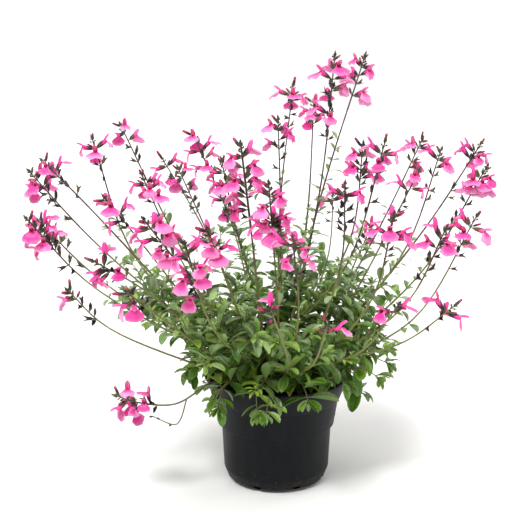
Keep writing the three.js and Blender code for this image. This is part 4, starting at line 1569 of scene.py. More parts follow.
@dataclass(frozen=True)
class PotPlastic:
    """Black moulded plastic with a low sheen, painted lighter vertical streaks of sheen, and dust and specks
    of soil near its foot.
    """

    black: str = "#070a0d"
    # The lighter grey of the painted sheen streaks
    painted_sheen: str = "#101418"
    dust: str = "#5b4a39"
    roughness: float = 0.45
    gloss: float = 0.14

    def material(self) -> Material:
        """Make the material.

        Returns:
            The material.
        """
        tree = ShaderTree("pot_plastic")
        height = tree.parts(tree.place)[2]
        cloud = tree.noise(28.0, 4.0)
        fine = tree.noise(900.0, 2.0)
        sheen_streak = tree.noise(60.0, 3.0, stretch=(1.0, 1.0, 0.15))
        low = height.step(0.05, 0.004)
        dusty = (cloud * 0.5 + low * 0.35).step(0.48, 0.8) * 0.16
        specks = tree.noise(420.0, 1.0).step(0.66, 0.74) * (low * 0.7 + 0.03)
        # Painted sheen: vertical streaks blend the black towards a lighter grey
        base = tree.blend(sheen_streak.step(0.3, 0.8), self.black, self.painted_sheen)
        base = tree.blend(dusty, base, self.dust)
        base = tree.blend(specks, base, self.dust)
        rough = cloud * 0.16 + specks * 0.3 + dusty * 0.4 + self.roughness - 0.06
        tree.feed(base_color=base, roughness=rough, specular_ior_level=self.gloss)
        tree.bump(fine * 0.4 + cloud * 0.6, 0.25, 0.0003)
        return tree.material


@dataclass(frozen=True)
class MixFinish:
    """Moist bark and peat mix."""

    name: str = "potting_mix"
    dark: str = "#1d130c"
    light: str = "#4a3322"
    roughness: float = 0.95

    def material(self) -> Material:
        """Make the material.

        Returns:
            The material.
        """
        tree = ShaderTree(self.name)
        grain = tree.noise(260.0, 5.0)
        fibre = tree.noise(900.0, 3.0, stretch=(1.0, 0.25, 1.0))
        base = tree.blend(grain.step(0.35, 0.7), self.dark, self.light)
        base = tree.blend(fibre.step(0.55, 0.8) * 0.4, base, self.light)
        tree.feed(base_color=base, roughness=self.roughness)
        tree.bump(grain * 0.7 + fibre * 0.3, 0.7, 0.0015)
        return tree.material


@dataclass(frozen=True)
class StemBark:
    """Square stems: olive and woody low down, thin and purple-brown towards the flowers."""

    woody: str = "#6b5f45"
    olive: str = "#77803f"
    purple: str = "#3f2d33"
    groove: str = "#2f2a22"
    roughness: float = 0.55

    def material(self) -> Material:
        """Make the material.

        Returns:
            The material.
        """
        tree = ShaderTree("stem")
        height = tree.parts(tree.place)[2]
        cloud = tree.noise(45.0, 2.0)
        fibre = tree.noise(1300.0, 3.0, stretch=(1.0, 1.0, 0.12))
        level = (height + cloud * 0.08 - 0.04).step(0.12, 0.42)
        stops = [(0.0, self.woody), (0.22, self.olive), (0.55, self.olive), (0.85, self.purple)]
        base = tree.ramp(level, stops)
        base = tree.blend(fibre.step(0.3, 0.75) * 0.5, base, self.groove)
        tree.feed(base_color=base, roughness=fibre * 0.2 + self.roughness - 0.1, subsurface_weight=0.05)
        tree.bump(fibre, 0.5, 0.0003)
        return tree.material


@dataclass(frozen=True)
class LeafGreen:
    """Soft leaves: green above with sunken veins, paler and greyer beneath, and a painted pale highlight that
    grows on higher leaves.
    """

    deep: str = "#1d3b07"
    fresh: str = "#487412"
    young: str = "#93b825"
    yellow: str = "#dfcd45"
    dry: str = "#7d5b36"
    under: str = "#83a05a"
    # The pale grey-green of the painted highlight
    painted_highlight: str = "#b4caa2"
    roughness: float = 0.31

    def material(self) -> Material:
        """Make the material.

        Returns:
            The material.
        """
        tree = ShaderTree("leaf")
        height = tree.parts(tree.place)[2]
        across, along, _ = tree.parts(tree.uv())
        side = abs(across - 0.5)
        midrib = side.step(0.05, 0.008)
        waves = ((along * 8.0 - side * 7.0) * (2 * pi)).sine().step(0.62, 0.98)
        veins = (waves * side.step(0.0, 0.1) * 0.75).math("MAXIMUM", midrib)
        cloud = tree.noise(55.0, 2.0)
        pores = tree.noise(1500.0, 2.0)
        tint = tree.attribute("tint")
        shade = tint + cloud * 0.24 - 0.12
        greens = [(0.0, self.deep), (0.26, self.fresh), (0.52, self.young)]
        base = tree.ramp(shade, [*greens, (0.75, self.yellow), (1.0, self.dry)])
        # Painted highlight: pale patches, more and stronger on leaves higher up
        highlight_share = (cloud + pores * 0.2 + height).step(0.7, 0.96) * (height.step(0.15, 0.3) * 0.5 + 0.08)
        base = tree.blend(highlight_share, base, self.painted_highlight)
        base = tree.blend(veins * 0.42, base, self.young)
        base = tree.blend(pores.step(0.35, 0.8) * 0.22, base, self.deep)
        base = tree.blend(tree.attribute("underside") * 0.6, base, self.under)
        rough = pores * 0.18 + self.roughness - 0.05
        tree.feed(base_color=base, roughness=rough, subsurface_weight=0.15, subsurface_scale=0.003)
        tree.feed(subsurface_radius=(0.45, 1.0, 0.2), specular_ior_level=0.45)
        tree.bump(pores * 0.35 + (1 - veins) * 0.65, 0.45, 0.0005)
        return tree.material


@dataclass(frozen=True)
class Petal:
    """Velvety pink petals: hot pink tube and hood, paler lip, darkest in the throat."""

    tube: str = "#f0389a"
    lip: str = "#f58fc6"
    throat: str = "#c01065"
    roughness: float = 0.5

    def material(self) -> Material:
        """Make the material.

        Returns:
            The material.
        """
        tree = ShaderTree("petal")
        fade = tree.attribute("fade")
        cloud = tree.noise(160.0, 3.0)
        fine = tree.noise(1800.0, 2.0)
        across = tree.parts(tree.uv())[0]
        lines = ((across + cloud * 0.05) * 90.0).sine() * 0.5 + 0.5
        tint = tree.attribute("tint")
        share = fade + cloud * 0.24 + tint * 0.5 - 0.38
        base = tree.ramp(share, [(0.0, self.throat), (0.3, self.tube), (0.62, self.tube), (1.0, self.lip)])
        base = tree.blend(lines * 0.12, base, self.tube)
        tree.feed(base_color=base, roughness=fine * 0.2 + self.roughness - 0.1, subsurface_weight=0.3)
        tree.feed(subsurface_radius=(1.0, 0.35, 0.5), subsurface_scale=0.004, sheen_weight=0.25)
        tree.feed(sheen_roughness=0.4)
        tree.bump(fine * 0.5 + lines * 0.5, 0.3, 0.0002)
        return tree.material


@dataclass(frozen=True)
class CalyxSkin:
    """Ribbed calyces: dark purple-brown with olive between the ribs."""

    dark: str = "#24121b"
    olive: str = "#5f5a30"
    roughness: float = 0.6

    def material(self) -> Material:
        """Make the material.

        Returns:
            The material.
        """
        tree = ShaderTree("calyx")
        across, along, _ = tree.parts(tree.uv())
        ribs = (across * (2 * pi * 10)).sine() * 0.5 + 0.5
        cloud = tree.noise(120.0, 3.0)
        fine = tree.noise(1700.0, 2.0)
        green = (cloud + tree.attribute("tint") * 0.5 - along * 0.35 + ribs * 0.16).step(0.56, 0.96)
        base = tree.blend(green, self.dark, self.olive)
        tree.feed(base_color=base, roughness=fine * 0.2 + self.roughness - 0.1, sheen_weight=0.12)
        tree.bump(ribs * 0.7 + fine * 0.3, 0.5, 0.0003)
        return tree.material


@dataclass(frozen=True)
class BudSkin:
    """Closed corollas: crimson, in darker and paler patches."""

    name: str = "bud"
    dark: str = "#8a1440"
    light: str = "#c92d68"
    roughness: float = 0.45

    def material(self) -> Material:
        """Make the material.

        Returns:
            The material.
        """
        tree = ShaderTree(self.name)
        cloud = tree.noise(500.0, 3.0)
        fine = tree.noise(1800.0, 2.0)
        base = tree.blend(cloud.step(0.3, 0.75), self.dark, self.light)
        tree.feed(base_color=base, roughness=fine * 0.2 + self.roughness - 0.1, subsurface_weight=0.1)
        tree.bump(fine, 0.4, 0.0002)
        return tree.material


# Small shapes that repeat over the plant


class Shape:
    """Points and faces of a small shape of closed bodies, with a finish for each face."""

    def __init__(self) -> None:
        """Start with nothing."""
        self.points: list[Array] = []
        self.faces: list[tuple[int, ...]] = []
        self.parts: list[int] = []
        self.uv: list[Array] = []
        self.marks: list[Array] = []

    def add(self, points: Array, faces: list[tuple[int, ...]], part: Part, uv: Array, marks: Array) -> None:
        """Add one closed body, turned so that its faces point out.

        Args:
            points: its points.
            faces: the faces between them.
            part: what it belongs to.
            uv: its place on the UV map, point by point.
            marks: the fade of a petal or the underside of a leaf, point by point.
        """
        volume = 0.0
        for face in faces:
            for i in range(1, len(face) - 1):
                a, b, c = (points[face[k]] for k in (0, i, i + 1))
                volume += float(a @ np.cross(b, c))
        first = sum(len(group) for group in self.points)
        for face in faces:
            row = face if volume > 0 else face[::-1]
            self.faces.append(tuple(first + i for i in row))
            self.parts.append(int(part))
        self.points.append(points)
        self.uv.append(uv)
        self.marks.append(marks)

    def loft(self, rings: Array, part: Part, fade: Array | float = 0.0) -> None:
        """Add a body through rings of points, closed at both ends.

        Args:
            rings: rows of points, one row a ring.
            part: what it belongs to.
            fade: one mark for each ring, or for all.
        """
        rows, count, _ = rings.shape
        faces = [tuple(range(count))[::-1]]
        for row in range(rows - 1):
            low, high = row * count, (row + 1) * count
            for i in range(count):
                j = (i + 1) % count
                faces.append((low + i, low + j, high + j, high + i))
        faces.append(tuple((rows - 1) * count + i for i in range(count)))
        uv = [(i / count, row / (rows - 1)) for row in range(rows) for i in range(count)]
        marks = np.repeat(np.broadcast_to(fade, rows), count)
        self.add(rings.reshape(-1, 3), faces, part, np.array(uv), marks)

    def sheet(self, grid: Array, thickness: float, part: Part, fade: Array | float = 0.0) -> None:
        """Add a thin sheet whose two sides meet at its edge.

        Args:
            grid: rows of points.
            thickness: its thickness in the middle.
            part: what it belongs to.
            fade: one mark for each row, or for all.
        """
        rows, count, _ = grid.shape
        normals = np.cross(np.gradient(grid, axis=0), np.gradient(grid, axis=1))
        normals /= np.linalg.norm(normals, axis=2)[:, :, None] + 1e-9
        inner = np.zeros((rows, count), dtype=bool)
        inner[1:-1, 1:-1] = True
        top = grid + normals * (inner[:, :, None] * thickness / 2)
        below = (grid - normals * (thickness / 2))[inner]
        number = np.arange(rows * count).reshape(rows, count)
        under = number.copy()
        under[inner] = rows * count + np.arange(inner.sum())
        faces = []
        for i in range(rows - 1):
            for j in range(count - 1):
                corners = ((i, j), (i + 1, j), (i + 1, j + 1), (i, j + 1))
                faces.append(tuple(int(number[corner]) for corner in corners))
                faces.append(tuple(int(under[corner]) for corner in corners[::-1]))
        spots = np.stack(np.meshgrid(np.linspace(0, 1, count), np.linspace(0, 1, rows)), axis=2)
        marks = np.repeat(np.broadcast_to(fade, rows), count).reshape(rows, count)
        points = np.concatenate([top.reshape(-1, 3), below])
        uv = np.concatenate([spots.reshape(-1, 2), spots[inner]])
        self.add(points, faces, part, uv, np.concatenate([marks.ravel(), marks[inner]]))

    def mesh(self, name: str, scale: float, mark: str) -> Mesh:
        """Make the mesh of the shape.

        Args:
            name: the mesh's name.
            scale: metres in a unit.
            mark: the name of the attribute that its marks become.

        Returns:
            The mesh.
        """
        mesh = bpy.data.meshes.new(name)
        mesh.from_pydata((np.concatenate(self.points) * scale).tolist(), [], self.faces)
        corners = np.zeros(len(mesh.loops), dtype=np.int32)
        mesh.loops.foreach_get("vertex_index", corners)
        layer = mesh.uv_layers.new(name="UVMap")
        layer.data.foreach_set("uv", np.concatenate(self.uv)[corners].ravel())
        add_attribute(mesh, mark, "FLOAT", "POINT", np.concatenate(self.marks))
        add_attribute(mesh, "part", "INT", "FACE", np.array(self.parts))
        mesh.shade_smooth()
        mesh.set_sharp_from_angle(angle=radians(60))
        return mesh


def add_attribute(mesh: Mesh, name: str, kind: str, domain: str, values: Array) -> None:
    """Add an attribute to a mesh, with one value or vector for each point or face."""
    key = "vector" if kind == "FLOAT_VECTOR" else "value"
    mesh.attributes.new(name, kind, domain).data.foreach_set(key, np.asarray(values).ravel())


def ring(x: float, across: float, above: float, below: float, count: int = 8) -> Array:
    """Lay a ring round the forward axis.

    Args:
        x: how far forward.
        across: half its width.
        above: its height over the axis.
        below: its depth under the axis.
        count: its points.

    Returns:
        The points.
    """
    angles = np.arange(count) * 2 * pi / count
    heights = np.where(np.sin(angles) > 0, above, below) * np.sin(angles)
    return np.stack([np.full(count, x), across * np.cos(angles), heights], axis=1)


def round_ring(x: float, radius: float, count: int = 8) -> Array:
    """A round ring."""
    return ring(x, radius, radius, radius, count)


@dataclass
class LeafShape:
    """A small blunt leaf of length and width one, on a short stalk."""

    fold: float = 0.07
    droop: float = 0.05
    bend: float = 0.0
    roll: float = 0.0
    fullness: float = 1.0
    stations: tuple[float, ...] = (0.12, 0.28, 0.48, 0.68, 0.86, 0.96)
    widths: tuple[float, ...] = (0.15, 0.66, 0.96, 1.0, 0.76, 0.42)
    end_width: float = 0.12
    stalk: float = 0.035
    thickness: float = 0.012
    arch: float = 0.03
    # Places round a ring: the share of half the width, and the side, above, on the edge or below
    round_places: tuple = ((1, 0), (0.5, 1), (0, 0.6), (-0.5, 1), (-1, 0), (0, -1.4))

    def midrib(self, x: float) -> Span:
        """The midrib's side shift and height at a share of the length."""
        return self.bend * x * x, self.arch * sin(x * pi) - self.droop * x**3

    def blade_ring(self, x: float, width: float) -> Array:
        """Lay one ring of the blade: right edge, three points above, left edge and one below.

        Args:
            x: the share of its length.
            width: the share of its width.

        Returns:
            The points.
        """
        shift, height = self.midrib(x)
        half = 0.5 * width * self.fullness
        rows = []
        for u, side in self.round_places:
            lift = self.fold * abs(u) ** 1.4 * width + self.roll * u + self.thickness * side
            rows.append((x, shift + u * half, height + lift))
        return np.array(rows)

    def shape(self) -> Shape:
        """Make the leaf as one closed body.

        Returns:
            The shape.
        """
        stalk = np.array([(0.0, u * self.stalk, side * self.stalk / 2) for u, side in self.round_places])
        blades = [self.blade_ring(x, width) for x, width in zip(self.stations, self.widths)]
        table = np.array([stalk, *blades, self.blade_ring(1.0, self.end_width)])
        shape = Shape()
        shape.loft(table, Part.LEAF)
        across = [0.5 + u / 2 for u, _ in self.round_places]
        shape.uv[-1] = np.stack([np.tile(across, len(table)), table[:, :, 0].ravel()], axis=1)
        shape.marks[-1] = np.tile([0.3, 0, 0, 0, 0.3, 1], len(table))
        return shape


@dataclass
class FlowerShape:
    """An open two-lipped flower on its calyx."""

    # How far its calyx reaches, the radius of the mouth and the gap between its lips
    calyx: Spot = (15.8, 2.6, 0.8)
    spread: float = 1.0
    drop: float = 68.0
    hood_rise: float = 3.2
    ruffle: float = 0.8
    # The hood: its foot, its length, how far it falls at its end, and its width, arch and curl
    hood_foot: Span = (15.8, 2.7)
    hood_length: float = 10.0
    hood_fall: float = 1.6
    hood_width: float = 3.5
    hood_arc: float = 1.3
    hood_curl: float = 0.9
    hood_shares: tuple[float, ...] = (0.0, 0.4, 0.8, 1.0)
    # The lip: its root, how far its lobes, notch, shoulders and edges reach, and its waves and bulge
    throat: Spot = (17.0, 0.0, -1.4)
    lobe_reach: float = 15.4
    root_reach: float = 1.8
    edge_reach: float = 3.0
    notch: Span = (2.8, 12.0)
    shoulder: Span = (64.0, 4.5)
    waves: float = 0.13
    bulge: Spot = (2.2, 2.0, 3.0)
    fan: tuple[float, ...] = (-92, -68, -58, -38, -13, 13, 38, 58, 68, 92)
    # Shares of the lip's reach, each with its fade
    lip_rows: tuple = ((0.0, 0.12), (0.4, 0.6), (0.76, 0.9), (1.0, 1.0))
    # The stamens: forward and up at both ends, how far to each side, and their radius
    stamen: tuple = ((16, 0.9), (26.6, 3.0))
    stamen_side: float = 0.8
    stamen_radius: float = 0.24
    # Rings of the tube, outside and then inside: forward, half width, height above and below
    tube: tuple = (
        (8.0, 1.4, 1.4, 1.4),
        (12.5, 2.2, 2.0, 2.8),
        (17.6, 3.2, 2.9, 3.3),
        (17.5, 2.7, 2.4, 2.8),
        (13.5, 1.6, 1.4, 1.8),
    )
    tube_fade: tuple[float, ...] = (0.4, 0.48, 0.55, 0.2, 0.0)
    petal: float = 0.45

    def shape(self) -> Shape:
        """Make the flower.

        Returns:
            The shape.
        """
        shape = calyx_shape(*self.calyx)
        shape.loft(np.array([ring(*row) for row in self.tube]), Part.PETAL, np.array(self.tube_fade))
        self.add_hood(shape)
        self.add_lip(shape)
        self.add_stamens(shape)
        return shape

    def add_hood(self, shape: Shape) -> None:
        """Add the arched hood.

        Args:
            shape: the shape that it joins.
        """
        turn = np.linspace(-self.hood_arc, self.hood_arc, 5)
        rows = []
        for share in self.hood_shares:
            x = self.hood_foot[0] + self.hood_length * share
            z = self.hood_foot[1] + self.hood_rise * share**0.8 - self.hood_fall * share**3
            width = self.hood_width * (1 - 0.5 * share**4)
            curl = width * self.hood_curl * (1 - np.cos(turn))
            rows.append(np.stack([x - 0.3 * curl * share, width * np.sin(turn), z - curl], axis=1))
        shape.sheet(np.array(rows), self.petal, Part.PETAL, np.linspace(0.42, 0.66, 4))

    def add_lip(self, shape: Shape) -> None:
        """Add the broad lower lip with its notch and two lobes.

        Args:
            shape: the shape that it joins.
        """
        slope = radians(self.drop)
        down = np.array([cos(slope), 0, -sin(slope)])
        normal = np.array([sin(slope), 0, cos(slope)])
        rows = []
        shares, fades = zip(*self.lip_rows)
        for share in shares:
            row = []
            for degree in self.fan:
                angle = radians(degree)
                reach = mix(self.root_reach, self.reach(degree), share) * self.spread
                wave = self.ruffle * share**2 * sin(degree * self.waves)
                bulge = self.bulge[0] * sin(share * self.bulge[1]) - self.bulge[2] * share**2
                ray = down * cos(angle) + np.array([0, sin(angle), 0])
                row.append(np.array(self.throat) + ray * reach + normal * (wave + bulge))
            rows.append(row)
        shape.sheet(np.array(rows), self.petal, Part.PETAL, np.array(fades))

    def reach(self, degree: float) -> float:
        """The reach of the lip in one direction: two rounded lobes, a notch, and narrow shoulders."""
        lobe = self.lobe_reach - self.notch[0] * exp(-((degree / self.notch[1]) ** 2))
        return mix(self.edge_reach, lobe, 1 / (1 + exp((abs(degree) - self.shoulder[0]) / self.shoulder[1])))

    def add_stamens(self, shape: Shape) -> None:
        """Add two stamens under the hood.

        Args:
            shape: the shape that they join.
        """
        for side in (-self.stamen_side, self.stamen_side):
            rings = [round_ring(x, self.stamen_radius, 3) + np.array([0, side, z]) for x, z in self.stamen]
            shape.loft(np.array(rings), Part.STAMEN)


def calyx_shape(end: float, mouth: float, gape: float) -> Shape:
    """Make a calyx on its short stalk, which opens in two pointed lips.

    Args:
        end: how far its lips reach.
        mouth: the radius of its mouth.
        gape: how far its two lips stand apart.

    Returns:
        The shape, which a flower can be added to.
    """
    cleft = end - 8.2
    angles = np.arange(8) * pi / 4 + pi / 2
    lips = np.abs(np.sin(angles)) ** 2.4
    rows = [(-0.6, 0.5, 0), (2.4, 0.7, 0), (5.0, 1.9, 0), (8.0, mouth, 0)]
    rows += [(end, mouth, 1), (end - 0.5, mouth * 0.8, 1), (7.4, mouth * 0.6, 0)]
    rings = []
    for x, radius, share in rows:
        reach = x - share * (1 - lips) * cleft
        girth = radius + gape * share * lips
        rings.append(np.stack([reach, girth * np.cos(angles), girth * np.sin(angles)], axis=1))
    shape = Shape()
    shape.loft(np.array(rings), Part.CALYX)
    return shape


def bud_shape() -> Shape:
    """Make a closed bud in its calyx.

    Returns:
        The shape.
    """
    shape = calyx_shape(12.6, 1.9, 0.0)
    rows = [(7.5, 1.0), (11.0, 1.6), (14.2, 1.75), (15.7, 1.2), (16.4, 0.3)]
    shape.loft(np.array([round_ring(x, radius) for x, radius in rows]), Part.BUD)
    return shape


@dataclass
class TipShape:
    """The cluster of small closed buds at a raceme's tip."""

    axis: tuple = ((0.0, 0.7), (3.0, 0.75), (7.5, 0.5), (9.6, 0.15))
    count: int = 9
    turn: float = 2.4
    reach: Span = (4.8, 2.2)
    lean: Span = (0.85, 0.25)
    base: Span = (-0.6, 6.2)
    girths: tuple = ((0.0, 0.35), (0.4, 1.15), (0.75, 0.95), (1.0, 0.2))

    def shape(self) -> Shape:
        """Make the cluster.

        Returns:
            The shape.
        """
        shape = Shape()
        shape.loft(np.array([round_ring(x, radius, 5) for x, radius in self.axis]), Part.CALYX)
        for i in range(self.count):
            self.add_bud(shape, i)
        return shape

    def add_bud(self, shape: Shape, number: int) -> None:
        """Add one of the buds.

        Args:
            shape: the shape that it joins.
            number: its number from the foot.
        """
        share = number / self.count
        out = np.array([0.0, cos(number * self.turn), sin(number * self.turn)])
        lean = mix(*self.lean, share)
        forward = np.array([cos(lean), 0, 0]) + out * sin(lean)
        side = unit(np.cross(forward, out + np.array([0.3, 0, 0])))
        up = np.cross(forward, side)
        rings = []
        for along, girth in self.girths:
            circle = round_ring(0.0, girth * mix(1.0, 0.65, share), 5)
            middle = np.array([mix(*self.base, share), 0, 0]) + forward * (mix(*self.reach, share) * along)
            rings.append(middle + circle[:, 1:2] * side + circle[:, 2:] * up)
        shape.loft(np.array(rings), Part.CALYX)


def crumb_shape(part: Part, girths: tuple[float, ...], skew: float) -> Shape:
    """A crumb of bark or a grain of perlite, of length one.

    Args:
        part: what it is made of.
        girths: half its width at even steps along it.
        skew: how far its rings are pushed aside in turn.

    Returns:
        The shape.
    """
    shape = Shape()
    rows = []
    for i, girth in enumerate(girths):
        shift = np.array([0, skew * (-1) ** i, skew * 0.5 * (i % 2)])
        rows.append(ring(i / (len(girths) - 1) - 0.5, girth, girth * 0.7, girth * 0.6, 5) + shift)
    shape.loft(np.array(rows), part)
    return shape


# Building with Geometry Nodes

# The named inputs of a growth's tree with their values, and the side of a square of half diagonal one
SIZES = {"Stem size": 1.0, "Stem corner": 0.35, "Sprig size": 1.0}
SQUARE = 1.42


class GrowthTree(Nodes):
    """The Geometry Nodes tree that turns lines into square stems and points into leaves or flowers."""

    def __init__(self, name: str, shapes: list[Mesh], finishes: dict[Part, Material]) -> None:
        """Build the tree.

        Args:
            name: the tree's name.
            shapes: the meshes that its points can become, in order.
            finishes: the material of each part.
        """
        super().__init__(bpy.data.node_groups.new(name, "GeometryNodeTree"))
        self.inputs: dict[str, str] = {}
        for end in ("INPUT", "OUTPUT"):
            self.tree.interface.new_socket("Geometry", in_out=end, socket_type="NodeSocketGeometry")
        for label, value in SIZES.items():
            item = self.tree.interface.new_socket(label, in_out="INPUT", socket_type="NodeSocketFloat")
            item.default_value = value
            self.inputs[label] = item.identifier
        entry = self.add("NodeGroupInput")
        self.entry = {output.name: Sock(self, output) for output in entry.outputs}
        self.collection = bpy.data.collections.new(name)
        for number, mesh in enumerate(shapes):
            template = bpy.data.objects.new(f"{name}_{number:02d}", mesh)
            self.collection.objects.link(template)
        joined = self.add("GeometryNodeJoinGeometry")
        for branch in (self.stems(finishes[Part.STEM]), self.sprigs(finishes)):
            self.tree.links.new(branch.socket, joined.inputs[0])
        self.add("NodeGroupOutput", None, {0: joined.outputs[0]})

    def named(self, name: str, kind: str) -> Sock:
        """The value of one of the host's attributes."""
        return self.get("GeometryNodeInputNamedAttribute", {"data_type": kind}, {"Name": name})

    def stems(self, finish: Material) -> Sock:
        """Turn the host's lines into square stems.

        Args:
            finish: the stems' material.

        Returns:
            The stems.
        """
        curves = self.get("GeometryNodeMeshToCurve", None, {0: self.entry["Geometry"]})
        curves = self.get("GeometryNodeCurveSplineType", {"spline_type": "POLY"}, {0: curves})
        square = self.get("GeometryNodeCurvePrimitiveQuadrilateral", None, {0: SQUARE, 1: SQUARE})
        profile = self.get("GeometryNodeFilletCurve", None, {0: square, 1: 1, 2: self.entry["Stem corner"]})
        scale = self.named("thickness", "FLOAT") * self.entry["Stem size"]
        values = {"Curve": curves, "Profile Curve": profile, "Scale": scale, "Fill Caps": True}
        tube = self.get("GeometryNodeCurveToMesh", None, values)
        soft = self.get("GeometryNodeSetShadeSmooth", None, {0: tube, 2: True})
        return self.get("GeometryNodeSetMaterial", None, {0: soft, 2: finish})

    def sprigs(self, finishes: dict[Part, Material]) -> Sock:
        """Turn the host's loose points into leaves or flowers.

        Args:
            finishes: the material of each part.

        Returns:
            The leaves or flowers, with their finishes.
        """
        shape = self.named("shape", "INT")
        settings = {"data_type": "INT", "operation": "GREATER_EQUAL"}
        chosen = self.get("FunctionNodeCompare", settings, {2: shape, 3: 0})
        templates = self.get("GeometryNodeCollectionInfo", None, {0: self.collection, 1: True, 2: True})
        axes = {"primary_axis": "X", "secondary_axis": "Z"}
        directions = {0: self.named("forward", "FLOAT_VECTOR"), 1: self.named("up", "FLOAT_VECTOR")}
        rotation = self.get("FunctionNodeAxesToRotation", axes, directions)
        values = {0: self.named("size", "FLOAT_VECTOR"), "Scale": self.entry["Sprig size"]}
        size = self.get("ShaderNodeVectorMath", {"operation": "SCALE"}, values)
        values = {0: self.entry["Geometry"], 1: chosen, 2: templates, 3: True, 4: shape, 5: rotation, 6: size}
        placed = self.get("GeometryNodeInstanceOnPoints", None, values)
        result = self.get("GeometryNodeRealizeInstances", None, {0: placed})
        part = self.named("part", "INT")
        test = {"data_type": "INT", "operation": "EQUAL"}
        for number, finish in finishes.items():
            own = self.get("FunctionNodeCompare", test, {2: part, 3: int(number)})
            result = self.get("GeometryNodeSetMaterial", None, {0: result, 1: own, 2: finish})
        return result

    def grow(self, name: str, growth: Growth, sizes: dict[str, float], unit_size: float) -> Object:
        """Grow one piece.

        Args:
            name: the piece's name.
            growth: its stems and sprigs.
            sizes: values of the tree's named inputs that differ from theirs.
            unit_size: the size that each sprig's size is multiplied by.

        Returns:
            The piece as a plain mesh.
        """
        host = bpy.data.objects.new(name, growth_mesh(name, growth, unit_size))
        bpy.context.scene.collection.objects.link(host)
        modifier = host.modifiers.new("growth", "NODES")
        modifier.node_group = self.tree
        for label, value in (SIZES | sizes).items():
            modifier[self.inputs[label]] = value
        settle(host)
        return host

    def clear(self) -> None:
        """Remove the tree and the shapes that it placed."""
        for template in list(self.collection.objects):
            bpy.data.objects.remove(template)
        bpy.data.collections.remove(self.collection)
        bpy.data.node_groups.remove(self.tree)


def growth_mesh(name: str, growth: Growth, unit_size: float) -> Mesh:
    """Make the host mesh of a growth: lines for stems and loose points for sprigs.

    Args:
        name: the mesh's name.
        growth: the stems and sprigs.
        unit_size: the size that each sprig's size is multiplied by.

    Returns:
        The mesh, with its attributes.
    """
    points = [row for stem, _ in growth.stems for row in stem]
    thickness = [value * MM for _, row in growth.stems for value in row]
    edges = []
    first = 0
    for stem, _ in growth.stems:
        edges += [(first + i, first + i + 1) for i in range(len(stem) - 1)]
        first += len(stem)
    blank = len(points)
    points += [sprig.place.origin for sprig in growth.sprigs]
    mesh = bpy.data.meshes.new(name)
    mesh.from_pydata((np.array(points) * MM).tolist(), edges, [])
    filler = np.zeros((blank, 3)) + UP
    forward = np.array([sprig.place.forward for sprig in growth.sprigs])
    up = np.array([sprig.place.up for sprig in growth.sprigs])
    size = np.array([sprig.size for sprig in growth.sprigs]) * unit_size
    thickness += [0.0] * len(growth.sprigs)
    shapes = [-1] * blank + [int(sprig.shape) for sprig in growth.sprigs]
    tints = [0.3] * blank + [sprig.tint for sprig in growth.sprigs]
    rows = (("thickness", "FLOAT", thickness), ("shape", "INT", shapes), ("tint", "FLOAT", tints))
    for label, kind, values in rows:
        add_attribute(mesh, label, kind, "POINT", np.array(values))
    for label, rows in (("forward", forward), ("up", up), ("size", size)):
        add_attribute(mesh, label, "FLOAT_VECTOR", "POINT", np.concatenate([filler, rows]))
    return mesh


def settle(piece: Object) -> None:
    """Turn a piece with modifiers into a plain mesh.

    Args:
        piece: the piece.
    """
    graph = bpy.context.evaluated_depsgraph_get()
    final = piece.evaluated_get(graph)
    mesh = bpy.data.meshes.new_from_object(final, preserve_all_data_layers=True, depsgraph=graph)
    for modifier in list(piece.modifiers):
        piece.modifiers.remove(modifier)
    mesh.name = piece.name
    piece.data = mesh


def own_piece(name: str, mesh: Mesh, finish: Material | None = None) -> Object:
    """Make an object in the scene from a mesh.

    Args:
        name: the piece's name.
        mesh: its mesh.
        finish: its material, if the mesh has none.

    Returns:
        The object.
    """
    piece = bpy.data.objects.new(name, mesh)
    bpy.context.scene.collection.objects.link(piece)
    if finish:
        mesh.materials.append(finish)
    return piece


def hand_over(piece: Object, slot: str, *nodes: str) -> None:
    """Put a finished piece in place of its nodes and report it.

    Args:
        piece: the piece.
        slot: the name of a material slot, which is not used.
        nodes: the nodes that it stands for.
    """
    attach(piece, "root")
    if nodes:
        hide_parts(*nodes)
    LOG.info("%s: %d faces", piece.name, len(piece.data.polygons))


# The pieces


def lathe(name: str, profile: Array, segments: int) -> Mesh:
    """Turn a profile round the upright axis into a closed body.

    Args:
        name: the mesh's name.
        profile: radius and height of each point, from the axis round to the axis.
        segments: the sides of the body.

    Returns:
        The mesh.
    """
    angles = np.arange(segments) * 2 * pi / segments
    middle = profile[1:-1]
    across = [np.outer(middle[:, 0], turn(angles)) for turn in (np.cos, np.sin)]
    rings = np.stack([*across, np.repeat(middle[:, 1:], segments, axis=1)], axis=2)
    points = [(0, 0, profile[0, 1]), *rings.reshape(-1, 3), (0, 0, profile[-1, 1])]
    last = len(points) - 1
    faces = []
    for i in range(segments):
        j = (i + 1) % segments
        faces.append((0, 1 + j, 1 + i))
        for row in range(len(middle) - 1):
            low, high = 1 + row * segments, 1 + (row + 1) * segments
            faces.append((low + i, low + j, high + j, high + i))
        top = 1 + (len(middle) - 1) * segments
        faces.append((last, top + i, top + j))
    mesh = bpy.data.meshes.new(name)
    mesh.from_pydata((np.array(points, dtype=float) * MM).tolist(), [], faces)
    mesh.shade_smooth()
    mesh.set_sharp_from_angle(angle=radians(40))
    return mesh


def rounded(profile: list[Span], radius: float, steps: int = 3) -> Array:
    """Round the corners of a profile.

    Args:
        profile: its points.
        radius: how far from a corner the rounding starts, at most.
        steps: short lengths in each rounding.

    Returns:
        The points of the rounded profile.
    """
    table = np.array(profile, dtype=float)
    points = [table[0]]
    for before, corner, after in zip(table, table[1:], table[2:]):
        cut_in = min(radius, np.linalg.norm(before - corner) * 0.45)
        cut_out = min(radius, np.linalg.norm(after - corner) * 0.45)
        start = corner + unit(before - corner) * cut_in
        end = corner + unit(after - corner) * cut_out
        for step in range(steps + 1):
            t = step / steps
            points.append(start * (1 - t) ** 2 + corner * 2 * t * (1 - t) + end * t * t)
    points.append(table[-1])
    return np.array(points)


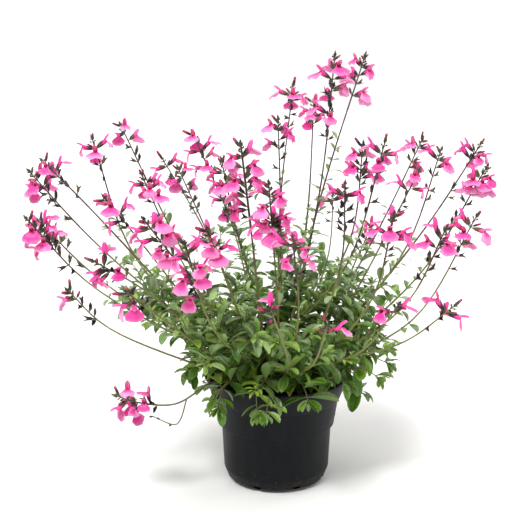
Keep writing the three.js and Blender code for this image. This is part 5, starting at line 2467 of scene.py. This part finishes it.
@dataclass
class Pot:
    """The black nursery pot: flared rim band, collar, tapering body and rounded foot with drain slots."""

    height: float = 150.0
    lip: Span = (100.0, 147.0)
    lip_top: Span = (99.5, 97.5)
    band: tuple = ((99.0, 145.5), (88.0, 117.6))
    collar: tuple = ((86.0, 117.0), (80.0, 79.8))
    body: tuple = ((76.0, 79.0), (73.0, 18.0))
    edge: Span = (68.0, 5.0)
    flat: float = 57.0
    wall: float = 2.0
    corner: float = 1.2
    segments: int = 144
    slots: int = 8
    slot_size: Spot = (12.0, 9.0, 9.0)
    slot_radius: float = 69.0
    slot_tilt: float = 35.0

    def outer(self) -> list[Span]:
        """Lay out the profile of the outside.

        Returns:
            Its points, from the axis up to the lip.
        """
        top = [(self.lip_top[0], self.height), (self.lip_top[1], self.height)]
        rows = [(0.0, 0.0), (self.flat, 0.0), self.edge, self.body[1], self.body[0]]
        return [*rows, self.collar[1], self.collar[0], self.band[1], self.band[0], self.lip, *top]

    def inner(self) -> list[Span]:
        """Lay out the profile of the inside.

        Returns:
            Its points, from the lip down to the axis.
        """
        w = self.wall
        return [
            (self.band[0][0] - w, self.band[0][1]),
            (self.collar[0][0] - w, self.collar[0][1] - w),
            (self.body[0][0] - w, self.body[0][1] - w),
            (self.body[1][0] - w, self.body[1][1] + w / 2),
            (self.edge[0] - w, self.edge[1] + w),
            (self.flat - w / 2, w),
            (0.0, w),
        ]

    def cutter(self) -> Object:
        """Make the blocks that cut the drain slots.

        Returns:
            The blocks, as one object.
        """
        points = []
        faces = []
        for i in range(self.slots):
            angle = (i + 0.5) * 2 * pi / self.slots
            tilt = Matrix.Rotation(radians(self.slot_tilt), 4, "Y")
            shift = Matrix.Translation(Vector((self.slot_radius, 0, self.edge[1])))
            turn = Matrix.Rotation(angle, 4, "Z") @ shift @ tilt
            signs = [(a, b, c) for a in (-1, 1) for b in (-1, 1) for c in (-1, 1)]
            corners = [Vector(s * d / 2 for s, d in zip(row, self.slot_size)) for row in signs]
            first = len(points)
            points += [tuple((turn @ corner) * MM) for corner in corners]
            box = ((0, 1, 3, 2), (4, 6, 7, 5), (0, 4, 5, 1), (2, 3, 7, 6), (0, 2, 6, 4), (1, 5, 7, 3))
            faces += [tuple(first + k for k in row) for row in box]
        mesh = bpy.data.meshes.new("slot_cutter")
        mesh.from_pydata(points, [], faces)
        return own_piece("slot_cutter", mesh)

    def build(self) -> None:
        """Build the pot and dress it."""
        profile = rounded([*self.outer(), *self.inner()], self.corner)
        piece = own_piece("pot_shell", lathe("pot_shell", profile, self.segments), PotPlastic().material())
        cutter = self.cutter()
        modifier = piece.modifiers.new("slots", "BOOLEAN")
        modifier.operation = "DIFFERENCE"
        modifier.solver = "EXACT"
        modifier.object = cutter
        settle(piece)
        bpy.data.objects.remove(cutter)
        hand_over(piece, "pot_plastic", "pot")


@dataclass
class PottingMix:
    """The bark and peat mix, with loose crumbs on its top."""

    pot: Pot
    top: float = 126.0
    crown: float = 3.0
    crown_radius: float = 90.0
    roughness: float = 1.2
    gap: float = 0.3
    segments: int = 96
    rings: tuple[float, ...] = (78, 70, 62, 54, 46, 38, 30, 22, 14, 7)
    crumbs: int = 1500
    crumb_sizes: Span = (3.0, 9.0)
    perlite_sizes: Span = (1.6, 3.2)
    perlite_share: float = 0.12
    crumb_radius: float = 80.0
    crumb_rise: Span = (-0.6, 0.9)
    crumb_tilt: float = 0.25
    # The paces and the bend of the waves in its top
    waves: tuple[float, ...] = (0.33, 1.7, 0.21, 0.41, 0.13)
    seed: int = 7

    def build(self) -> None:
        """Build the mix and its crumbs."""
        bark = MixFinish().material()
        hand_over(own_piece("mix_body", self.body_mesh(), bark), "potting_mix", "potting_mix")
        shapes = [
            crumb_shape(Part.BARK, (0.12, 0.3, 0.22, 0.08), 0.05),
            crumb_shape(Part.BARK, (0.05, 0.1, 0.12, 0.04), 0.03),
            crumb_shape(Part.PERLITE, (0.2, 0.5, 0.45, 0.15), 0.02),
        ]
        meshes = [shape.mesh(f"crumb_{i}", MM, "fade") for i, shape in enumerate(shapes)]
        perlite = MixFinish("perlite", "#a9a59b", "#e9e6dd").material()
        tree = GrowthTree("crumbs", meshes, {Part.STEM: bark, Part.BARK: bark, Part.PERLITE: perlite})
        crumbs = tree.grow("mix_crumbs", self.scatter(), {}, 1.0)
        hand_over(crumbs, "potting_mix")
        tree.clear()

    def scatter(self) -> Growth:
        """Scatter the crumbs over the mix.

        Returns:
            The crumbs, as sprigs without stems.
        """
        growth = Growth()
        draws = Draws(self.seed)
        for _ in range(self.crumbs):
            turn = draws.draw(0, 2 * pi)
            reach = self.crumb_radius * sqrt(draws.draw(0, 1))
            height = self.top + self.crown * (1 - reach / self.crown_radius) + draws.draw(*self.crumb_rise)
            white = draws.draw(0, 1) < self.perlite_share
            size = draws.draw(*(self.perlite_sizes if white else self.crumb_sizes))
            forward = np.array([draws.draw(-most, most) for most in (1, 1, self.crumb_tilt)])
            place = Place(np.array([reach * cos(turn), reach * sin(turn), height]), forward)
            shape = 2 if white else floor(draws.draw(0, 2))
            growth.sprigs.append(Sprig(place, shape, (size, size, size), 0.5))
        return growth

    def body_mesh(self) -> Mesh:
        """Make the mix as a closed body with an uneven top.

        Returns:
            The mesh.
        """
        wall = [(max(0.0, r - self.gap), h + self.gap / 3) for r, h in self.pot.inner() if h < self.top]
        wall[-2] = (wall[-2][0], self.pot.wall + self.gap)
        wall[-1] = (0.0, self.pot.wall + self.gap)
        rim, neck = self.pot.inner()[:2]
        edge = mix(rim[0], neck[0], (rim[1] - self.top) / (rim[1] - neck[1])) - self.gap
        rows = [(r, self.top + self.crown * (1 - r / self.crown_radius)) for r in self.rings]
        profile = [*wall[::-1], (edge, self.top), *rows, (0.0, self.top + self.crown)]
        mesh = lathe("mix_body", np.array(profile, dtype=float), self.segments)
        a, bend, b, c, d = self.waves
        for vertex in mesh.vertices:
            x, y, z = vertex.co / MM
            if z > self.top + self.gap:
                wave = sin(x * a + bend * sin(y * b)) + sin(y * c + x * d)
                vertex.co.z += wave * 0.5 * self.roughness * MM
        return mesh


@dataclass
class Foliage:
    """The branches with their side shoots and leaves."""

    plan: PlantPlan
    stem_size: float = 1.12
    thick: dict[str, float] = field(default_factory=lambda: {"front_left": 1.3})
    variants: tuple[LeafShape, ...] = (
        LeafShape(0.07, 0.05, 0.0, 0.0, 1.0),
        LeafShape(0.12, 0.12, 0.04, 0.01, 0.96),
        LeafShape(0.05, 0.2, -0.05, -0.02, 1.05),
        LeafShape(0.15, 0.02, 0.06, 0.03, 0.92),
        LeafShape(0.18, -0.05, -0.03, 0.0, 0.9),
        LeafShape(0.2, 0.1, 0.05, -0.03, 0.88),
    )

    def build(self) -> None:
        """Build every branch and dress it."""
        shapes = [leaf.shape().mesh(f"leaf_{i}", 1.0, "underside") for i, leaf in enumerate(self.variants)]
        finishes = {Part.STEM: StemBark().material(), Part.LEAF: LeafGreen().material()}
        tree = GrowthTree("foliage", shapes, finishes)
        for name, growth in self.plan.foliage.items():
            sizes = {"Stem size": self.thick.get(name, self.stem_size)}
            piece = tree.grow(f"foliage_{name}", growth, sizes, MM)
            hand_over(piece, "foliage", f"branch_{name}")
        tree.clear()


@dataclass
class Racemes:
    """The racemes with their flowers, buds and calyces."""

    plan: PlantPlan
    stem_size: float = 1.35
    thick: dict[str, float] = field(default_factory=lambda: {"front_left_1": 1.8})

    def build(self) -> None:
        """Build every raceme and dress it."""
        builders = [
            FlowerShape().shape(),
            FlowerShape(spread=1.08, drop=54.0, hood_rise=3.6, ruffle=1.4).shape(),
            FlowerShape(spread=0.82, drop=88.0, hood_rise=2.8, ruffle=1.8).shape(),
            bud_shape(),
            calyx_shape(14.5, 2.1, 1.3),
            calyx_shape(13.5, 1.9, 2.8),
            TipShape().shape(),
            calyx_shape(9.8, 1.9, 0.0),
        ]
        shapes = [shape.mesh(f"flower_{i}", MM, "fade") for i, shape in enumerate(builders)]
        finishes = {
            Part.STEM: bpy.data.materials["stem"],
            Part.CALYX: CalyxSkin().material(),
            Part.PETAL: Petal().material(),
            Part.BUD: BudSkin().material(),
            Part.STAMEN: BudSkin("stamen", "#d99ab0", "#f3d9dc").material(),
        }
        tree = GrowthTree("racemes", shapes, finishes)
        numbers: dict[str, int] = {}
        for stem in self.plan.stems:
            numbers[stem.branch] = numbers.get(stem.branch, 0) + 1
            label = f"{stem.branch}_{numbers[stem.branch]}"
            sizes = {"Stem size": self.thick.get(label, self.stem_size)}
            piece = tree.grow(f"flowers_{label}", self.plan.flowers[stem.index], sizes, 1.0)
            hand_over(piece, "flowers", f"raceme_{label}")
        tree.clear()


@dataclass
class Studio:
    """The pale floor, the soft lights and the camera."""

    floor_size: float = 30.0
    floor_shade: str = "#f4f4f2"
    floor_roughness: float = 0.9
    camera_place: Spot = (-20.0, -1250.0, 550.0)
    pitch: float = 11.1
    lens: float = 64.7
    sensor: float = 36.0
    sky: float = 0.62
    backdrop: float = 1.02
    # Two distant soft lights: where each shines from, its strength and its breadth in degrees
    lights: tuple = (
        ("key", (-0.45, -0.9, 1.5), 2.6, 16.0),
        ("back", (0.5, 0.5, 1.5), 1.1, 60.0),
    )

    def build(self) -> None:
        """Set up the floor, lights and camera."""
        self.add_floor()
        for row in self.lights:
            self.add_light(*row)
        self.add_camera()
        world = bpy.data.worlds.new("studio")
        world.use_nodes = True
        tree = Nodes(world.node_tree)
        seen = tree.get("ShaderNodeLightPath", output="Is Camera Ray")
        background = world.node_tree.nodes["Background"]
        background.inputs[0].default_value = (1.0, 1.0, 1.0, 1.0)
        strength = seen * (self.backdrop - self.sky) + self.sky
        world.node_tree.links.new(strength.socket, background.inputs[1])
        bpy.context.scene.world = world
        bpy.context.scene.view_settings.view_transform = "Standard"

    def add_floor(self) -> None:
        """Add the floor."""
        half = self.floor_size / 2
        mesh = bpy.data.meshes.new("floor")
        corners = [(-half, -half, 0), (half, -half, 0), (half, half, 0), (-half, half, 0)]
        mesh.from_pydata(corners, [], [(0, 1, 2, 3)])
        tree = ShaderTree("floor")
        tree.feed(base_color=colour(self.floor_shade), roughness=self.floor_roughness)
        own_piece("floor", mesh, tree.material)

    def add_light(self, name: str, place: Spot, strength: float, spread: float) -> None:
        """Add a distant soft light that evenly lights plant and floor.

        Args:
            name: its name.
            place: a point that it shines from, over the pot.
            strength: its strength, in watts on a square metre.
            spread: its breadth in the sky, in degrees, which softens shadows.
        """
        data = bpy.data.lights.new(name, "SUN")
        data.energy = strength
        data.angle = radians(spread)
        light = bpy.data.objects.new(name, data)
        light.rotation_euler = (-Vector(place)).to_track_quat("-Z", "Y").to_euler()
        bpy.context.scene.collection.objects.link(light)

    def add_camera(self) -> None:
        """Add the camera at the photograph's angle."""
        data = bpy.data.cameras.new("camera")
        data.lens = self.lens
        data.sensor_width = self.sensor
        camera = bpy.data.objects.new("camera", data)
        camera.location = Vector(self.camera_place) * MM
        camera.rotation_euler = (radians(90 - self.pitch), 0, 0)
        bpy.context.scene.collection.objects.link(camera)
        bpy.context.scene.camera = camera


def main() -> None:
    """Build the potted plant and the studio, in order."""
    logging.basicConfig(level=logging.INFO, format="%(message)s")
    plan = PlantPlan()
    pot = Pot()
    pot.build()
    PottingMix(pot).build()
    Foliage(plan).build()
    Racemes(plan).build()
    Studio().build()


if __name__ == "__main__":
    main()
